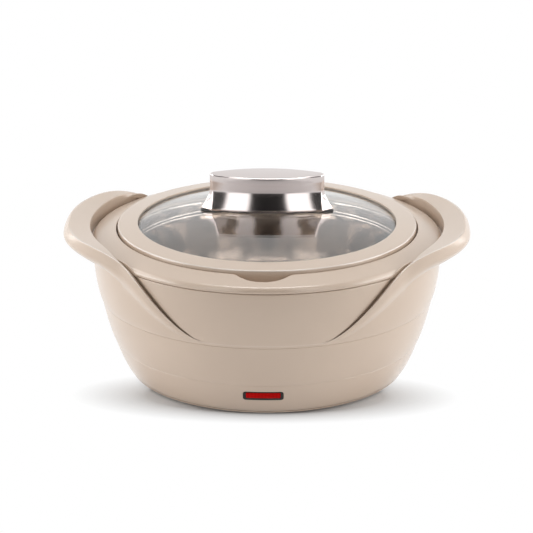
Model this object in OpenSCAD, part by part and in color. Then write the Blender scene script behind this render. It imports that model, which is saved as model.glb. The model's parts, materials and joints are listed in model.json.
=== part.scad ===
// Electric casserole: a warming pot with a moulded petal-handled shell, a steel liner
// and a drop-in glass lid. Millimetres. The origin is on the table under the pot's centre,
// +Z is up, the front faces -Y and the handles lie along X.

/* [Shell] */
// Outer radius of the shell at its top edge
rim_r = 133; // [130:0.5:136]
// Height of the shell's top edge above the table
rim_z = 104.8; // [103:0.2:107]
// How far the foot of the wall stands in from the rim
foot_in = 27.5; // [25:0.5:30]
// Height of the shell's bottom edge
foot_z = 3.7; // [3.4:0.1:4.4]
// How far the lower crease stands in from the rim
lower_crease_in = 16; // [14:0.5:18]
// Height of the lower crease
lower_crease_z = 28; // [27:0.5:29.5]
// How far the upper crease stands in from the rim
upper_crease_in = 6.2; // [4.2:0.2:8.2]
// Height of the upper crease, where the tongues end
upper_crease_z = 61; // [58:0.5:64]
// How far the lowest band swells beyond a straight line
lower_bulge = 0.9; // [0:0.1:1.4]
// How far the middle band swells beyond a straight line
middle_bulge = 0.9; // [0:0.1:1.4]
// How far the upper band swells beyond a straight line
upper_bulge = 1.9; // [0.5:0.1:2.4]
// Wall thickness of the shell
wall = 2.6; // [2.2:0.1:3]

/* [Handles] */
// How far a handle reaches out beyond the rim
handle_out = 22; // [18:0.5:27]
// How far the handle's lip stands beyond its top crease
handle_lip = 4; // [2:0.5:6]
// How far the side of the handle's plan curve lies in from the rim
handle_side_in = 26; // [23:0.5:29]
// Squareness of the handle's plan curve
handle_square = 2.5; // [2.2:0.1:3]
// Height of the handle's top crease above the rim
handle_rise = 14.8; // [12.2:0.2:18.2]
// Fall of the top face from its crease to its inner edge
handle_fall = 2; // [1:0.25:3]
// Depth below the rim at which the handle's underside leaves the wall
handle_root = 6.8; // [4.8:0.2:9.8]
// Clear gap between the rim collar and the handle's inner face
handle_gap = 2; // [1:0.1:3]
// Angle from the X axis at which the crest starts to fall
crest_start = 22; // [18:1:26]
// Angle from the X axis at which the tongue runs out
tongue_end = 71; // [68:1:74]
// How far the tongue stands proud of the wall
tongue_proud = 3.6; // [2.8:0.1:4.2]
// Depth of the groove behind the tongue's edge
groove_depth = 3.2; // [2.2:0.2:4]

/* [Rim collar] */
// Slope of the collar's shoulder in degrees
shoulder_slope = 16; // [13:0.5:19]
// Radius of the roll at the collar's outer edge
roll_r = 3.8; // [3:0.1:4.5]
// Height of the collar's straight edge below the roll
collar_edge = 1.6; // [1:0.1:2.2]
// Wall thickness of the collar
collar_t = 2.2; // [1.8:0.1:2.6]
// Height of the ledge that carries the lid above the rim
ledge_rise = 1.6; // [0.8:0.1:2.4]
// Width of the ledge
ledge_w = 8.4; // [6:0.2:9]
// Thickness of the ledge
ledge_t = 2; // [1.5:0.1:2.4]
// How deep the collar's skirt and spigot reach into the shell
collar_skirt = 3.3; // [2.5:0.1:4]
// Width of the finger scoop at its mouth
scoop_w = 41; // [34:1:46]
// How far the finger scoop reaches out from the collar's inner edge
scoop_reach = 8.8; // [7:0.2:9.6]
// Rounding at the two ends of the finger scoop
scoop_round = 9; // [5:0.5:12]

/* [Lid] */
// How far the lid ring's edge lies in from the rim
lid_in = 18.9; // [17.5:0.2:20.5]
// Width of the lid ring, from its edge to the glass that shows
ring_w = 15.4; // [14:0.2:18]
// Height of the ring's inner top edge above the rim
aperture_rise = 13.8; // [13:0.1:14.8]
// Fall of the ring's top face towards its outer edge
ring_fall = 1.6; // [0.8:0.1:2.2]
// Rounding at the ring's outer top edge
ring_round = 0.8; // [0.5:0.1:1.2]
// Gap between the lid ring and the collar
lid_gap = 1.1; // [0.8:0.1:1.5]
// How far the edge of the glass lies in from the lid ring's edge
glass_in = 5.4; // [4.9:0.1:6.6]
// Thickness of the glass
glass_t = 4; // [3.6:0.1:4.3]
// Radius of the glass dome, in radii of the opening that shows the glass
dome_ratio = 3.85; // [3.5:0.05:4.3]
// Thickness of the seal round the glass
gasket_t = 0.8; // [0.6:0.1:1]
// Thickness of the ring's lip over the glass at the opening
lip_t = 1.25; // [1:0.05:1.5]
// Thickness of the steel retaining ring
retainer_t = 0.8; // [0.5:0.1:1]

/* [Knob] */
// Length of the knob's top
knob_top_l = 88; // [80:1:96]
// Depth of the knob's top
knob_top_d = 28; // [24:1:32]
// Length of the knob's foot
knob_foot_l = 101; // [97:1:106]
// Depth of the knob's foot
knob_foot_d = 34; // [33:1:38]
// Height of the knob's top above the lid ring
knob_rise = 37.4; // [33.4:0.5:41.4]
// Height of the straight band under the knob's top
knob_band = 11; // [8:0.5:13]
// Width of the knob's blunt ends
knob_end_w = 7; // [5:0.5:9]
// Wall thickness of the knob
knob_t = 1.3; // [1:0.1:1.6]
// Thickness of the dark seat under the knob
seat_t = 0.9; // [0.6:0.1:1.3]
// Radius of the knob's screw
knob_screw_r = 2.4; // [2:0.1:2.6]

/* [Liner and insulation] */
// Height of the liner's floor above the shell's bottom edge
liner_floor = 26.3; // [25.3:0.5:27.3]
// How far the liner's step stands in from the liner's rim
liner_step_in = 3.5; // [2.8:0.1:5]
// Depth of the liner's step below the shell's rim
liner_step = 9.3; // [7.8:0.5:12.8]
// Width of the liner's step
liner_step_w = 2.2; // [1.6:0.1:2.6]
// Rounding between the liner's floor and wall
liner_round = 22; // [16:1:28]
// Lean of the liner's wall in degrees
liner_lean = 7; // [5:0.5:9]
// Thickness of the liner's steel
liner_t = 0.8; // [0.6:0.1:1]
// Clearance round the insulation
foam_gap = 0.5; // [0.4:0.1:0.8]

/* [Heater] */
// How far the heat spreader's edge lies in from the edge of the liner's flat floor
spreader_in = 6.2; // [4.2:0.5:10.2]
// Thickness of the heat spreader
spreader_t = 2.5; // [2:0.1:3]
// Thickness of the flat heating element
element_t = 1.6; // [1.2:0.1:2]
// Thickness of the mica sheet
mica_t = 0.8; // [0.5:0.1:1]
// Thickness of the clamp plate
clamp_t = 1.2; // [1:0.1:1.5]
// How far the clamp studs stand in from the heat spreader's edge
stud_in = 20; // [16:1:24]
// Radius of a clamp stud
stud_r = 2; // [1.5:0.1:2.2]
// Radius of the thermostat's case
thermostat_r = 8; // [7:0.5:9]

/* [Indicator] */
// Width of the indicator's frame
bezel_w = 30; // [26:0.5:34]
// Height of the indicator's frame along the wall
bezel_h = 8; // [7:0.25:9]
// Width of the red lens
lens_w = 25.5; // [22:0.5:25.5]
// Height of the red lens along the wall
lens_h = 5; // [4:0.25:5.5]
// Height of the indicator's centre above the shell's bottom edge
indicator_rise = 15.3; // [13.8:0.25:15.8]

/* [Inlet] */
// Width of the inlet's face
inlet_w = 24; // [22:0.5:27]
// Height of the inlet's face
inlet_h = 15; // [13.5:0.25:15.5]
// Height of the inlet's centre above the shell's bottom edge
inlet_rise = 12.7; // [12.3:0.1:13.3]
// Width of the socket for the plug
socket_w = 14.4; // [14:0.1:15]
// Height of the socket for the plug
socket_h = 8.4; // [8:0.1:9]
// Depth of the socket for the plug
socket_depth = 11; // [10:0.5:13]
// Distance between the two pins
pin_pitch = 8.6; // [8:0.1:9]
// Radius of a pin
pin_r = 1.2; // [1:0.05:1.4]

/* [Base] */
// Height of the base cover's underside above the table
cover_z = 1.2; // [0.8:0.1:1.8]
// Width of the rounded edge of the base cover
cover_edge_w = 7; // [4.5:0.5:10.5]
// Thickness of the base cover
cover_t = 2.4; // [1.8:0.1:2.6]
// Radius of a foot
foot_pad_r = 8; // [6:0.5:10]
// How far the feet stand in from the shell's foot
feet_in = 27.5; // [20:0.5:35]
// How far the base screws stand in from the shell's foot
screws_in = 12.5; // [11.5:0.5:13.5]
// Radius of a base screw's shank
screw_r = 1.6; // [1.3:0.1:1.8]

/* [Hidden] */
$fn = 96;

shell_colour = [0.80, 0.72, 0.66];
steel_colour = [0.72, 0.72, 0.72];
dark_colour = [0.15, 0.14, 0.14];
brass_colour = [0.78, 0.62, 0.32];

// Small clearances shared by pieces that seat on each other
seam = 0.15;
lid_rest = 0.3;
// Clearance to the shell's inner wall, whose facets lie a little inside its true curve
wall_fit = 0.45;

// Radii and heights that hang on the rim and on the foot of the wall
foot_r = rim_r - foot_in;
lower_crease_r = rim_r - lower_crease_in;
upper_crease_r = rim_r - upper_crease_in;
handle_reach = rim_r + handle_out;
handle_half_w = rim_r - handle_side_in;
handle_top_z = rim_z + handle_rise;
handle_root_z = rim_z - handle_root;
ledge_z = rim_z + ledge_rise;
lid_r = rim_r - lid_in;
glass_r = lid_r - glass_in;
aperture_r = lid_r - ring_w;
aperture_z = rim_z + aperture_rise;
dome_radius = dome_ratio * aperture_r;
knob_top_z = aperture_z + knob_rise;
liner_floor_z = foot_z + liner_floor;
liner_step_z = rim_z - liner_step;
indicator_z = foot_z + indicator_rise;
inlet_z = foot_z + inlet_rise;
cover_flat_r = foot_r - cover_edge_w;
foot_ring_r = foot_r - feet_in;
screw_ring_r = foot_r - screws_in;

// Curves that fade one form into another

function clamp01(x) = min(1, max(0, x));
function ease(x) = let (t = clamp01(x)) t * t * (3 - 2 * t);
function fade(a, from, to) = ease((a - from) / (to - from));
function mix(x, y, t) = x + (y - x) * t;
function soft_max(x, y, k) = (x + y + sqrt((x - y) * (x - y) + k * k)) / 2;
function steps(from, to, n) = [for (i = [0:n]) mix(from, to, i / n)];
function reversed(list) = [for (i = [len(list) - 1:-1:0]) list[i]];
function without_last(list) = [for (i = [0:len(list) - 2]) list[i]];

// Outer wall: three softly swollen bands between the foot, the two creases and the rim

function band_r(z, z0, r0, z1, r1, bulge) =
    let (t = (z - z0) / (z1 - z0)) mix(r0, r1, t) + 4 * bulge * t * (1 - t);
function wall_r(z) =
    z <= foot_z ? foot_r
    : z < lower_crease_z ? band_r(z, foot_z, foot_r, lower_crease_z, lower_crease_r, lower_bulge)
    : z < upper_crease_z
        ? band_r(z, lower_crease_z, lower_crease_r, upper_crease_z, upper_crease_r, middle_bulge)
    : z < rim_z ? band_r(z, upper_crease_z, upper_crease_r, rim_z, rim_r, upper_bulge)
    : rim_r;
band_steps = 3;
wall_levels = concat(
    without_last(steps(foot_z, lower_crease_z, band_steps)),
    steps(lower_crease_z, upper_crease_z, band_steps)
);
inner_levels = concat(
    without_last(steps(foot_z, lower_crease_z, 2)),
    without_last(steps(lower_crease_z, upper_crease_z, 2)),
    steps(upper_crease_z, rim_z, 2)
);

// Petal handles, as functions of the angle a from the X axis.
// The crest is the top edge of the petal, the root is where its face leaves the wall.

tip_root_z = upper_crease_z + 0.6;
tip_crest_z = tip_root_z + 1.6;
root_start = crest_start + 6;
crest_delay = 1.45;
lip_at = 0.66;
top_ends = crest_start + 22;
crest_blend = 1.5;
face_steps = [0, 0.12, 0.26, 0.42, 0.55, lip_at, 0.84, 1];

function crest_z(a) =
    let (t = max(0, (a - crest_start) / (tongue_end - crest_start)))
    mix(handle_top_z, tip_crest_z, ease(pow(t, crest_delay)));
function root_z(a) = mix(handle_root_z, tip_root_z, fade(a, root_start, tongue_end));
function plan_r(a) = pow(
    pow(cos(a) / (handle_reach - handle_lip), handle_square) + pow(sin(a) / handle_half_w, handle_square),
    -1 / handle_square
);
function proud(a) = tongue_proud * (1 - fade(a, top_ends + 4, tongue_end));
function crest_off(a) = soft_max(plan_r(a) - wall_r(crest_z(a)), proud(a), crest_blend);
function lip_off(a) = crest_off(a) + handle_lip * (1 - fade(a, crest_start - 16, crest_start + 8));
function face_off(a, s) =
    s < lip_at
        ? lip_off(a) * sin(90 * s / lip_at)
        : mix(lip_off(a), crest_off(a), 1 - cos(90 * (s - lip_at) / (1 - lip_at)));
function inner_gap(a) = handle_gap * (1 - fade(a, top_ends - 8, top_ends + 2));
function on_tongue(a) = fade(a, top_ends - 14, top_ends);
function run_out(a) = fade(a, tongue_end - 11, tongue_end);

lip_flat = 0.6;
lip_drop = 0.2;
tip_step = 0.5;

function face_point(a, s) =
    let (z = mix(root_z(a), crest_z(a), s)) [wall_r(z) + face_off(a, s), z];
function top_edge(a) =
    let (
        drop = mix(handle_fall, lip_drop, on_tongue(a)),
        z = crest_z(a) - mix(drop, -tip_step, run_out(a)),
        crest_r = wall_r(crest_z(a)) + crest_off(a)
    ) [mix(crest_r, wall_r(z) + inner_gap(a), 1 - lip_flat * on_tongue(a)), z];
function groove_point(a) =
    let (z = top_edge(a)[1] - mix(groove_depth, -tip_step, run_out(a)))
    [wall_r(z) + inner_gap(a), z];
function panel_point(a, t) =
    let (z = mix(groove_point(a)[1], rim_z, t)) [wall_r(z) + inner_gap(a), z];

// One closed section of the shell at angle a, from the foot up the outside and down the inside
function shell_section(a) = concat(
    [for (z = wall_levels) [wall_r(z), z]],
    [for (t = [1 / 3, 2 / 3]) let (z = mix(upper_crease_z, root_z(a), t)) [wall_r(z), z]],
    [for (s = face_steps) face_point(a, s)],
    [top_edge(a), groove_point(a)],
    [for (t = [1 / 3, 2 / 3, 1]) panel_point(a, t)],
    [for (z = reversed(inner_levels)) [wall_r(z) - wall, z]]
);

quarter = concat([for (a = [0:3:69]) a], [72, 76.5, 81, 85.5]);
half_turn = concat(quarter, [90], [for (i = [len(quarter) - 1:-1:1]) 180 - quarter[i]]);
stations = concat(half_turn, [for (t = half_turn) t + 180]);
function from_x_axis(t) = let (u = t % 180) u > 90 ? 180 - u : u;

// Closed ring of sections round the Z axis
module ring_loft(sections, angles) {
    n = len(angles);
    m = len(sections[0]);
    points = [
        for (i = [0:n - 1]) for (p = sections[i]) [p[0] * cos(angles[i]), p[0] * sin(angles[i]), p[1]]
    ];
    faces = [
        for (i = [0:n - 1]) for (j = [0:m - 1])
            let (i1 = (i + 1) % n, j1 = (j + 1) % m)
            each [[i * m + j, i * m + j1, i1 * m + j1], [i * m + j, i1 * m + j1, i1 * m + j]]
    ];
    polyhedron(points, faces);
}

// Stack of closed loops of equal length, capped at both ends
module stack_loft(loops) {
    n = len(loops);
    m = len(loops[0]);
    sides = [
        for (i = [0:n - 2]) for (j = [0:m - 1])
            let (j1 = (j + 1) % m)
            each [[i * m + j, (i + 1) * m + j, (i + 1) * m + j1], [i * m + j, (i + 1) * m + j1, i * m + j1]]
    ];
    foot = [for (j = [1:m - 2]) [0, j, j + 1]];
    head = [for (j = [1:m - 2]) [(n - 1) * m, (n - 1) * m + j + 1, (n - 1) * m + j]];
    polyhedron([for (loop = loops) each loop], concat(sides, foot, head));
}

// Rectangle with rounded corners, centred
module rounded_rect(w, h, r) {
    square([w - 2 * r, h], center = true);
    square([w, h - 2 * r], center = true);
    for (x = [-1, 1], y = [-1, 1])
        translate([x * (w / 2 - r), y * (h / 2 - r)]) circle(r);
}

// Skin that follows the outer wall between two offsets and two heights
module wall_skin(inner_off, outer_off, z0, z1) {
    levels = steps(z0, z1, 6);
    rotate_extrude()
        polygon(concat(
            [for (z = levels) [wall_r(z) + outer_off, z]],
            [for (z = reversed(levels)) [wall_r(z) + inner_off, z]]
        ));
}

// Copies round the Z axis
module around(n, first = 0) {
    for (i = [0:n - 1]) rotate(first + i * 360 / n) children();
}

// Frame of the indicator: X along the rim, Y up the wall, Z out of the wall

indicator_tilt = atan((wall_r(indicator_z + 3) - wall_r(indicator_z - 3)) / 6);
module at_indicator() {
    translate([0, -wall_r(indicator_z), indicator_z]) rotate([90 + indicator_tilt, 0, 0]) children();
}
function indicator_point(x, y, z) = [
    x,
    -wall_r(indicator_z) - y * sin(indicator_tilt) - z * cos(indicator_tilt),
    indicator_z + y * cos(indicator_tilt) - z * sin(indicator_tilt)
];
bezel_round = 2;
bezel_flange = 2;
lens_round = 0.8;
lens_rise = (bezel_h - lens_h) / 2 - 0.8;
plug_depth = 7;
lens_depth = 3.2;
bezel_stand = 0.3;
lens_stand = 0.55;

module bezel_plug(grow) {
    at_indicator()
        translate([0, 0, -2 * plug_depth])
            linear_extrude(4 * plug_depth)
                rounded_rect(bezel_w + 2 * grow, bezel_h + 2 * grow, bezel_round + grow);
}
module lens_plug(grow) {
    at_indicator()
        translate([0, lens_rise, -2 * plug_depth])
            linear_extrude(4 * plug_depth)
                rounded_rect(lens_w + 2 * grow, lens_h + 2 * grow, lens_round + grow);
}
module indicator_skin(inner_off, outer_off) {
    wall_skin(inner_off, outer_off, indicator_z - 2 * bezel_h, indicator_z + 2 * bezel_h);
}

// Frame of the inlet: X across, Z out of the back

inlet_round = 3;
inlet_flange = 2.5;
inlet_back = 20;
module inlet_prism(w, h, r, y0, y1) {
    translate([0, y0, inlet_z]) rotate([-90, 0, 0]) linear_extrude(y1 - y0) rounded_rect(w, h, r);
}
inlet_face_r = wall_r(inlet_z);
inlet_rear_y = inlet_face_r - inlet_back;

// Base screws and their bosses

boss_r = 4;
boss_foot_gap = 0.6;
boss_h = 11.4;
boss_cap = 2;
boss_foot_z = foot_z + boss_foot_gap;
boss_top_z = boss_foot_z + boss_h;
boss_rib_t = 3;
screw_head_r = 3;
screw_head_h = 1.6;
boss_angle = 45;
feet_angle = 0;

module screw_bosses() {
    around(4, boss_angle) {
        translate([screw_ring_r, 0, boss_foot_z]) cylinder(r = boss_r, h = boss_top_z - boss_foot_z);
        intersection() {
            translate([screw_ring_r, -boss_rib_t / 2, boss_foot_z])
                cube([rim_r, boss_rib_t, boss_top_z - boss_foot_z]);
            rotate_extrude()
                polygon(concat(
                    [[0, foot_z]],
                    [for (z = steps(foot_z, boss_top_z + 1, 5)) [wall_r(z) - wall / 2, z]],
                    [[0, boss_top_z + 1]]
                ));
        }
    }
}

module outer_body() color(shell_colour) difference() {
    union() {
        ring_loft([for (t = stations) shell_section(from_x_axis(t))], stations);
        screw_bosses();
    }
    around(4, boss_angle)
        translate([screw_ring_r, 0, foot_z]) cylinder(r = screw_r, h = boss_top_z - foot_z - boss_cap);
    intersection() {
        bezel_plug(seam);
        translate([-rim_r, -2 * rim_r, 0]) cube([2 * rim_r, 2 * rim_r, rim_z]);
    }
    inlet_prism(inlet_w + 2 * seam, inlet_h + 2 * seam, inlet_round + seam, inlet_rear_y, rim_r);
}

// Rim collar

collar_in_r = lid_r + lid_gap;
ledge_r = collar_in_r - ledge_w;
roll_c = [rim_r - roll_r, rim_z + collar_edge];
roll_end = roll_c + roll_r * [sin(shoulder_slope), cos(shoulder_slope)];
function shoulder_z(r) = roll_end[1] + (roll_end[0] - r) * tan(shoulder_slope);
collar_break = 0.7;
spigot_r = rim_r - wall - wall_fit;
skirt_z = rim_z - collar_skirt;
collar_out_t = collar_in_r + collar_t;

scoop_out_y = collar_in_r + scoop_reach;
scoop_chord_y = sqrt(collar_in_r * collar_in_r - scoop_w * scoop_w / 4);
scoop_sag = scoop_out_y - scoop_chord_y;
scoop_r = (scoop_w * scoop_w / 4 + scoop_sag * scoop_sag) / (2 * scoop_sag);
scoop_y = scoop_out_y - scoop_r;

// Centre of the rounding that touches the collar's inner edge and the scoop from outside
scoop_d1 = collar_in_r + scoop_round;
scoop_d2 = scoop_r + scoop_round;
scoop_round_y = (scoop_d1 * scoop_d1 - scoop_d2 * scoop_d2 + scoop_y * scoop_y) / (2 * scoop_y);
scoop_round_x = sqrt(scoop_d1 * scoop_d1 - scoop_round_y * scoop_round_y);

module scoop_outline(grow) {
    translate([0, -scoop_y]) circle(scoop_r + grow);
    for (side = [-1, 1])
        difference() {
            polygon([[0, 0], [side * scoop_round_x, -scoop_round_y], [0, -scoop_y]]);
            translate([side * scoop_round_x, -scoop_round_y]) circle(scoop_round - grow);
        }
}

module collar_ring() {
    rotate_extrude()
        polygon(concat(
            [[rim_r, rim_z]],
            [for (a = steps(0, 90 - shoulder_slope, 8)) roll_c + roll_r * [cos(a), sin(a)]],
            [
                [collar_in_r + collar_break, shoulder_z(collar_in_r + collar_break)],
                [collar_in_r, shoulder_z(collar_in_r) - collar_break],
                [collar_in_r, ledge_z], [ledge_r, ledge_z], [ledge_r, ledge_z - ledge_t],
                [collar_in_r, ledge_z - ledge_t], [collar_in_r, skirt_z], [collar_out_t, skirt_z],
                [collar_out_t, shoulder_z(collar_out_t) - collar_t],
                [spigot_r - collar_t, shoulder_z(spigot_r - collar_t) - collar_t],
                [spigot_r - collar_t, skirt_z], [spigot_r, skirt_z], [spigot_r, rim_z]
            ]
        ));
}

module under_shoulder() {
    rotate_extrude()
        polygon([
            [collar_in_r + collar_break, skirt_z],
            [collar_in_r + collar_break, shoulder_z(collar_in_r + collar_break)],
            roll_end, [roll_end[0], skirt_z]
        ]);
}

module rim_collar() color(shell_colour) difference() {
    union() {
        collar_ring();
        intersection() {
            translate([0, 0, ledge_z - ledge_t])
                linear_extrude(handle_top_z - ledge_z) scoop_outline(collar_t);
            under_shoulder();
        }
    }
    intersection() {
        translate([0, 0, ledge_z]) linear_extrude(handle_top_z) scoop_outline(0);
        translate([-rim_r, -2 * rim_r, 0]) cube([2 * rim_r, 2 * rim_r, 2 * handle_top_z]);
    }
}

// Steel liner

liner_lap = 1.6;
liner_rim_r = ledge_r - liner_lap;
liner_rim_z = ledge_z - ledge_t;
liner_step_r = liner_rim_r - liner_step_in;
step_rise = 0.6;
liner_flange_r = collar_in_r - 2 * seam;
liner_wall_h = liner_step_z - liner_floor_z - liner_round * (1 - sin(liner_lean));
liner_c = liner_step_r - liner_round * cos(liner_lean) - liner_wall_h * tan(liner_lean);

// Side of the bowl from its floor to its step, pushed out by grow
function bowl_side(grow) = concat(
    [
        for (a = steps(-90, -liner_lean, 8))
            [liner_c, liner_floor_z + liner_round] + (liner_round + grow) * [cos(a), sin(a)]
    ],
    [[liner_step_r + grow, liner_step_z - grow]]
);

module liner_bowl() color(steel_colour) rotate_extrude()
    polygon(concat(
        [[0, liner_floor_z]],
        bowl_side(0),
        [
            [liner_step_r + liner_step_w, liner_step_z + step_rise], [liner_rim_r, liner_rim_z],
            [liner_flange_r, liner_rim_z], [liner_flange_r, liner_rim_z - liner_t],
            [liner_rim_r + liner_t, liner_rim_z - liner_t],
            [liner_step_r + liner_step_w + liner_t, liner_step_z + step_rise - liner_t]
        ],
        reversed(bowl_side(liner_t)),
        [[0, liner_floor_z - liner_t]]
    ));

foam_top_z = skirt_z - 1;
foam_levels = concat(
    [for (z = inner_levels) if (z > lower_crease_z + 1 && z < foam_top_z) z], [foam_top_z]
);
foam_bottom_z = liner_floor_z - liner_t;
module foam_insulation() color([0.93, 0.9, 0.78]) rotate_extrude()
    polygon(concat(
        [
            [liner_c, foam_bottom_z - foam_gap],
            [wall_r(foam_bottom_z) - wall - foam_gap, foam_bottom_z - foam_gap]
        ],
        [for (z = foam_levels) [wall_r(z) - wall - foam_gap, z]],
        [
            [liner_rim_r + liner_t + foam_gap, foam_top_z],
            [liner_step_r + liner_step_w + liner_t + foam_gap, liner_step_z - liner_t - foam_gap]
        ],
        reversed(bowl_side(liner_t + foam_gap))
    ));

// Heater stack under the liner's floor

spreader_r = liner_c - spreader_in;
stud_ring_r = spreader_r - stud_in;
spreader_top = liner_floor_z - liner_t;
element_top = spreader_top - spreader_t;
mica_top = element_top - element_t;
clamp_top = mica_top - mica_t;
clamp_bottom = clamp_top - clamp_t;
element_hole_gap = 12;
element_edge_gap = 6;
element_in_r = thermostat_r + element_hole_gap;
element_out_r = spreader_r - element_edge_gap;
stud_hole_r = stud_r + 0.3;
nut_h = 3.2;
nut_r = stud_r * 2;
stud_past_nut = 1.4;
stud_end_z = clamp_bottom - nut_h - stud_past_nut;
stud_first = 90;
tab_w = 6.3;
tab_t = 0.8;
tab_l = 9;
tab_x = stud_ring_r;

module stud_holes(z0, z1) {
    around(3, stud_first) translate([stud_ring_r, 0, z0]) cylinder(r = stud_hole_r, h = z1 - z0);
}
module plate_with_holes(r, top, t, hole_r) difference() {
    translate([0, 0, top - t]) cylinder(r = r, h = t);
    translate([0, 0, top - t - 1]) cylinder(r = hole_r, h = t + 2);
    stud_holes(top - t - 1, top + 1);
}

module heater_plate() color([0.8, 0.81, 0.82])
    translate([0, 0, element_top]) cylinder(r = spreader_r, h = spreader_t);

module element_tabs() {
    for (side = [-1, 1])
        translate([side * tab_x - tab_w / 2, -tab_t / 2, mica_top - tab_l])
            cube([tab_w, tab_t, tab_l + element_t / 2]);
}
module heating_element() color([0.55, 0.5, 0.45]) {
    plate_with_holes(element_out_r, element_top, element_t, element_in_r);
    element_tabs();
}
module tab_slots(top, t) {
    for (side = [-1, 1])
        translate([side * tab_x - tab_w / 2 - 0.5, -tab_t / 2 - 0.5, top - t - 1])
            cube([tab_w + 1, tab_t + 1, t + 2]);
}
module mica_sheet() color([0.85, 0.78, 0.6]) difference() {
    plate_with_holes(element_out_r + 2, mica_top, mica_t, thermostat_r + 1);
    tab_slots(mica_top, mica_t);
}
module clamp_plate() color(steel_colour) difference() {
    plate_with_holes(element_out_r + 2, clamp_top, clamp_t, thermostat_r + 1);
    tab_slots(clamp_top, clamp_t);
    thermostat_screw_places()
        translate([0, 0, clamp_bottom - 1]) cylinder(r = ear_screw_r, h = clamp_t + 2);
}
module clamp_studs() color(steel_colour) around(3, stud_first)
    translate([stud_ring_r, 0, stud_end_z]) cylinder(r = stud_r, h = element_top - stud_end_z);
module clamp_nuts() color(brass_colour) around(3, stud_first)
    translate([stud_ring_r, 0, clamp_bottom - nut_h])
        difference() {
            cylinder(r = nut_r, h = nut_h, $fn = 6);
            translate([0, 0, -1]) cylinder(r = stud_r + 0.05, h = nut_h + 2);
        }

// Thermostat on two ears, with its cap against the heat spreader

ear_t = 1;
ear_pitch = 2 * thermostat_r + 8;
ear_w = 7;
ear_screw_r = 1.4;
thermostat_case_h = 8;
thermostat_tab_l = 5;
thermostat_bottom = clamp_bottom - ear_t - thermostat_case_h;

module thermostat_screw_places() {
    for (side = [-1, 1]) translate([0, side * ear_pitch / 2, 0]) children();
}
module thermostat() color(dark_colour) {
    difference() {
        union() {
            translate([0, 0, thermostat_bottom])
                cylinder(r = thermostat_r - 0.5, h = thermostat_case_h + 0.5);
            translate([0, 0, clamp_bottom - ear_t])
                cylinder(r = thermostat_r, h = element_top - clamp_bottom + ear_t);
            translate([-ear_w / 2, -ear_pitch / 2, clamp_bottom - ear_t]) cube([ear_w, ear_pitch, ear_t]);
            thermostat_screw_places()
                translate([0, 0, clamp_bottom - ear_t]) cylinder(r = ear_w / 2, h = ear_t);
        }
        thermostat_screw_places()
            translate([0, 0, clamp_bottom - ear_t - 1]) cylinder(r = ear_screw_r, h = ear_t + 2);
    }
    for (side = [-1, 1])
        translate([side * thermostat_r / 2 - tab_w / 4, -tab_t / 2, thermostat_bottom - thermostat_tab_l])
            cube([tab_w / 2, tab_t, thermostat_tab_l + 1]);
}
module thermostat_screws() color(steel_colour) thermostat_screw_places() {
    translate([0, 0, clamp_bottom - ear_t]) cylinder(r = ear_screw_r - 0.05, h = ear_t + clamp_t);
    translate([0, 0, clamp_bottom - ear_t - 1.6]) cylinder(r = 2 * ear_screw_r, h = 1.6);
}

// Thermal fuse under a clip on the clamp plate

fuse_r = 2;
fuse_l = 12;
fuse_x = -0.625 * stud_ring_r;
fuse_y = stud_ring_r / 2;
fuse_z = clamp_bottom - fuse_r - 0.1;
clip_t = 0.8;
clip_w = 6;
module thermal_fuse() color([0.85, 0.83, 0.75]) translate([fuse_x, fuse_y, fuse_z]) rotate([0, 90, 0]) {
    translate([0, 0, -fuse_l / 2]) cylinder(r = fuse_r, h = fuse_l);
    translate([0, 0, -fuse_l]) cylinder(r = 0.5, h = 2 * fuse_l);
}
module fuse_clip() color(steel_colour) translate([fuse_x - clip_w / 2, fuse_y, fuse_z]) {
    rotate([90, 0, 90]) linear_extrude(clip_w)
        difference() {
            union() {
                circle(fuse_r + 0.1 + clip_t);
                translate([-fuse_r - clip_t - 0.1, 0])
                    square([2 * (fuse_r + clip_t + 0.1), clamp_bottom - fuse_z]);
                translate([-3 * fuse_r, clamp_bottom - fuse_z - clip_t]) square([6 * fuse_r, clip_t]);
            }
            circle(fuse_r + 0.1);
            translate([-fuse_r - 0.1, 0]) square([2 * fuse_r + 0.2, 2 * fuse_r]);
        }
}

// Indicator

module indicator_bezel() color(dark_colour) difference() {
    intersection() {
        union() {
            intersection() {
                bezel_plug(0);
                indicator_skin(-plug_depth, bezel_stand);
            }
            intersection() {
                bezel_plug(bezel_flange);
                indicator_skin(-wall - wall_fit - 1.6, -wall - wall_fit);
            }
        }
        translate([-rim_r, -2 * rim_r, 0]) cube([2 * rim_r, 2 * rim_r, rim_z]);
    }
    lens_plug(seam);
}
module indicator_lens() color([0.62, 0.05, 0.05]) intersection() {
    lens_plug(0);
    indicator_skin(-lens_depth, lens_stand);
    translate([-rim_r, -2 * rim_r, 0]) cube([2 * rim_r, 2 * rim_r, rim_z]);
}
lamp_r = 1.6;
lamp_l = 12;
lamp_depth = lens_depth + lamp_r + 0.5;
lamp_y = lens_rise - (lens_h / 2 - lamp_r - 0.1);
module neon_lamp() color([0.9, 0.5, 0.3])
    at_indicator() translate([0, lamp_y, -lamp_depth]) rotate([0, 90, 0])
        translate([0, 0, -lamp_l / 2]) cylinder(r = lamp_r, h = lamp_l);

// Power inlet

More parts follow.
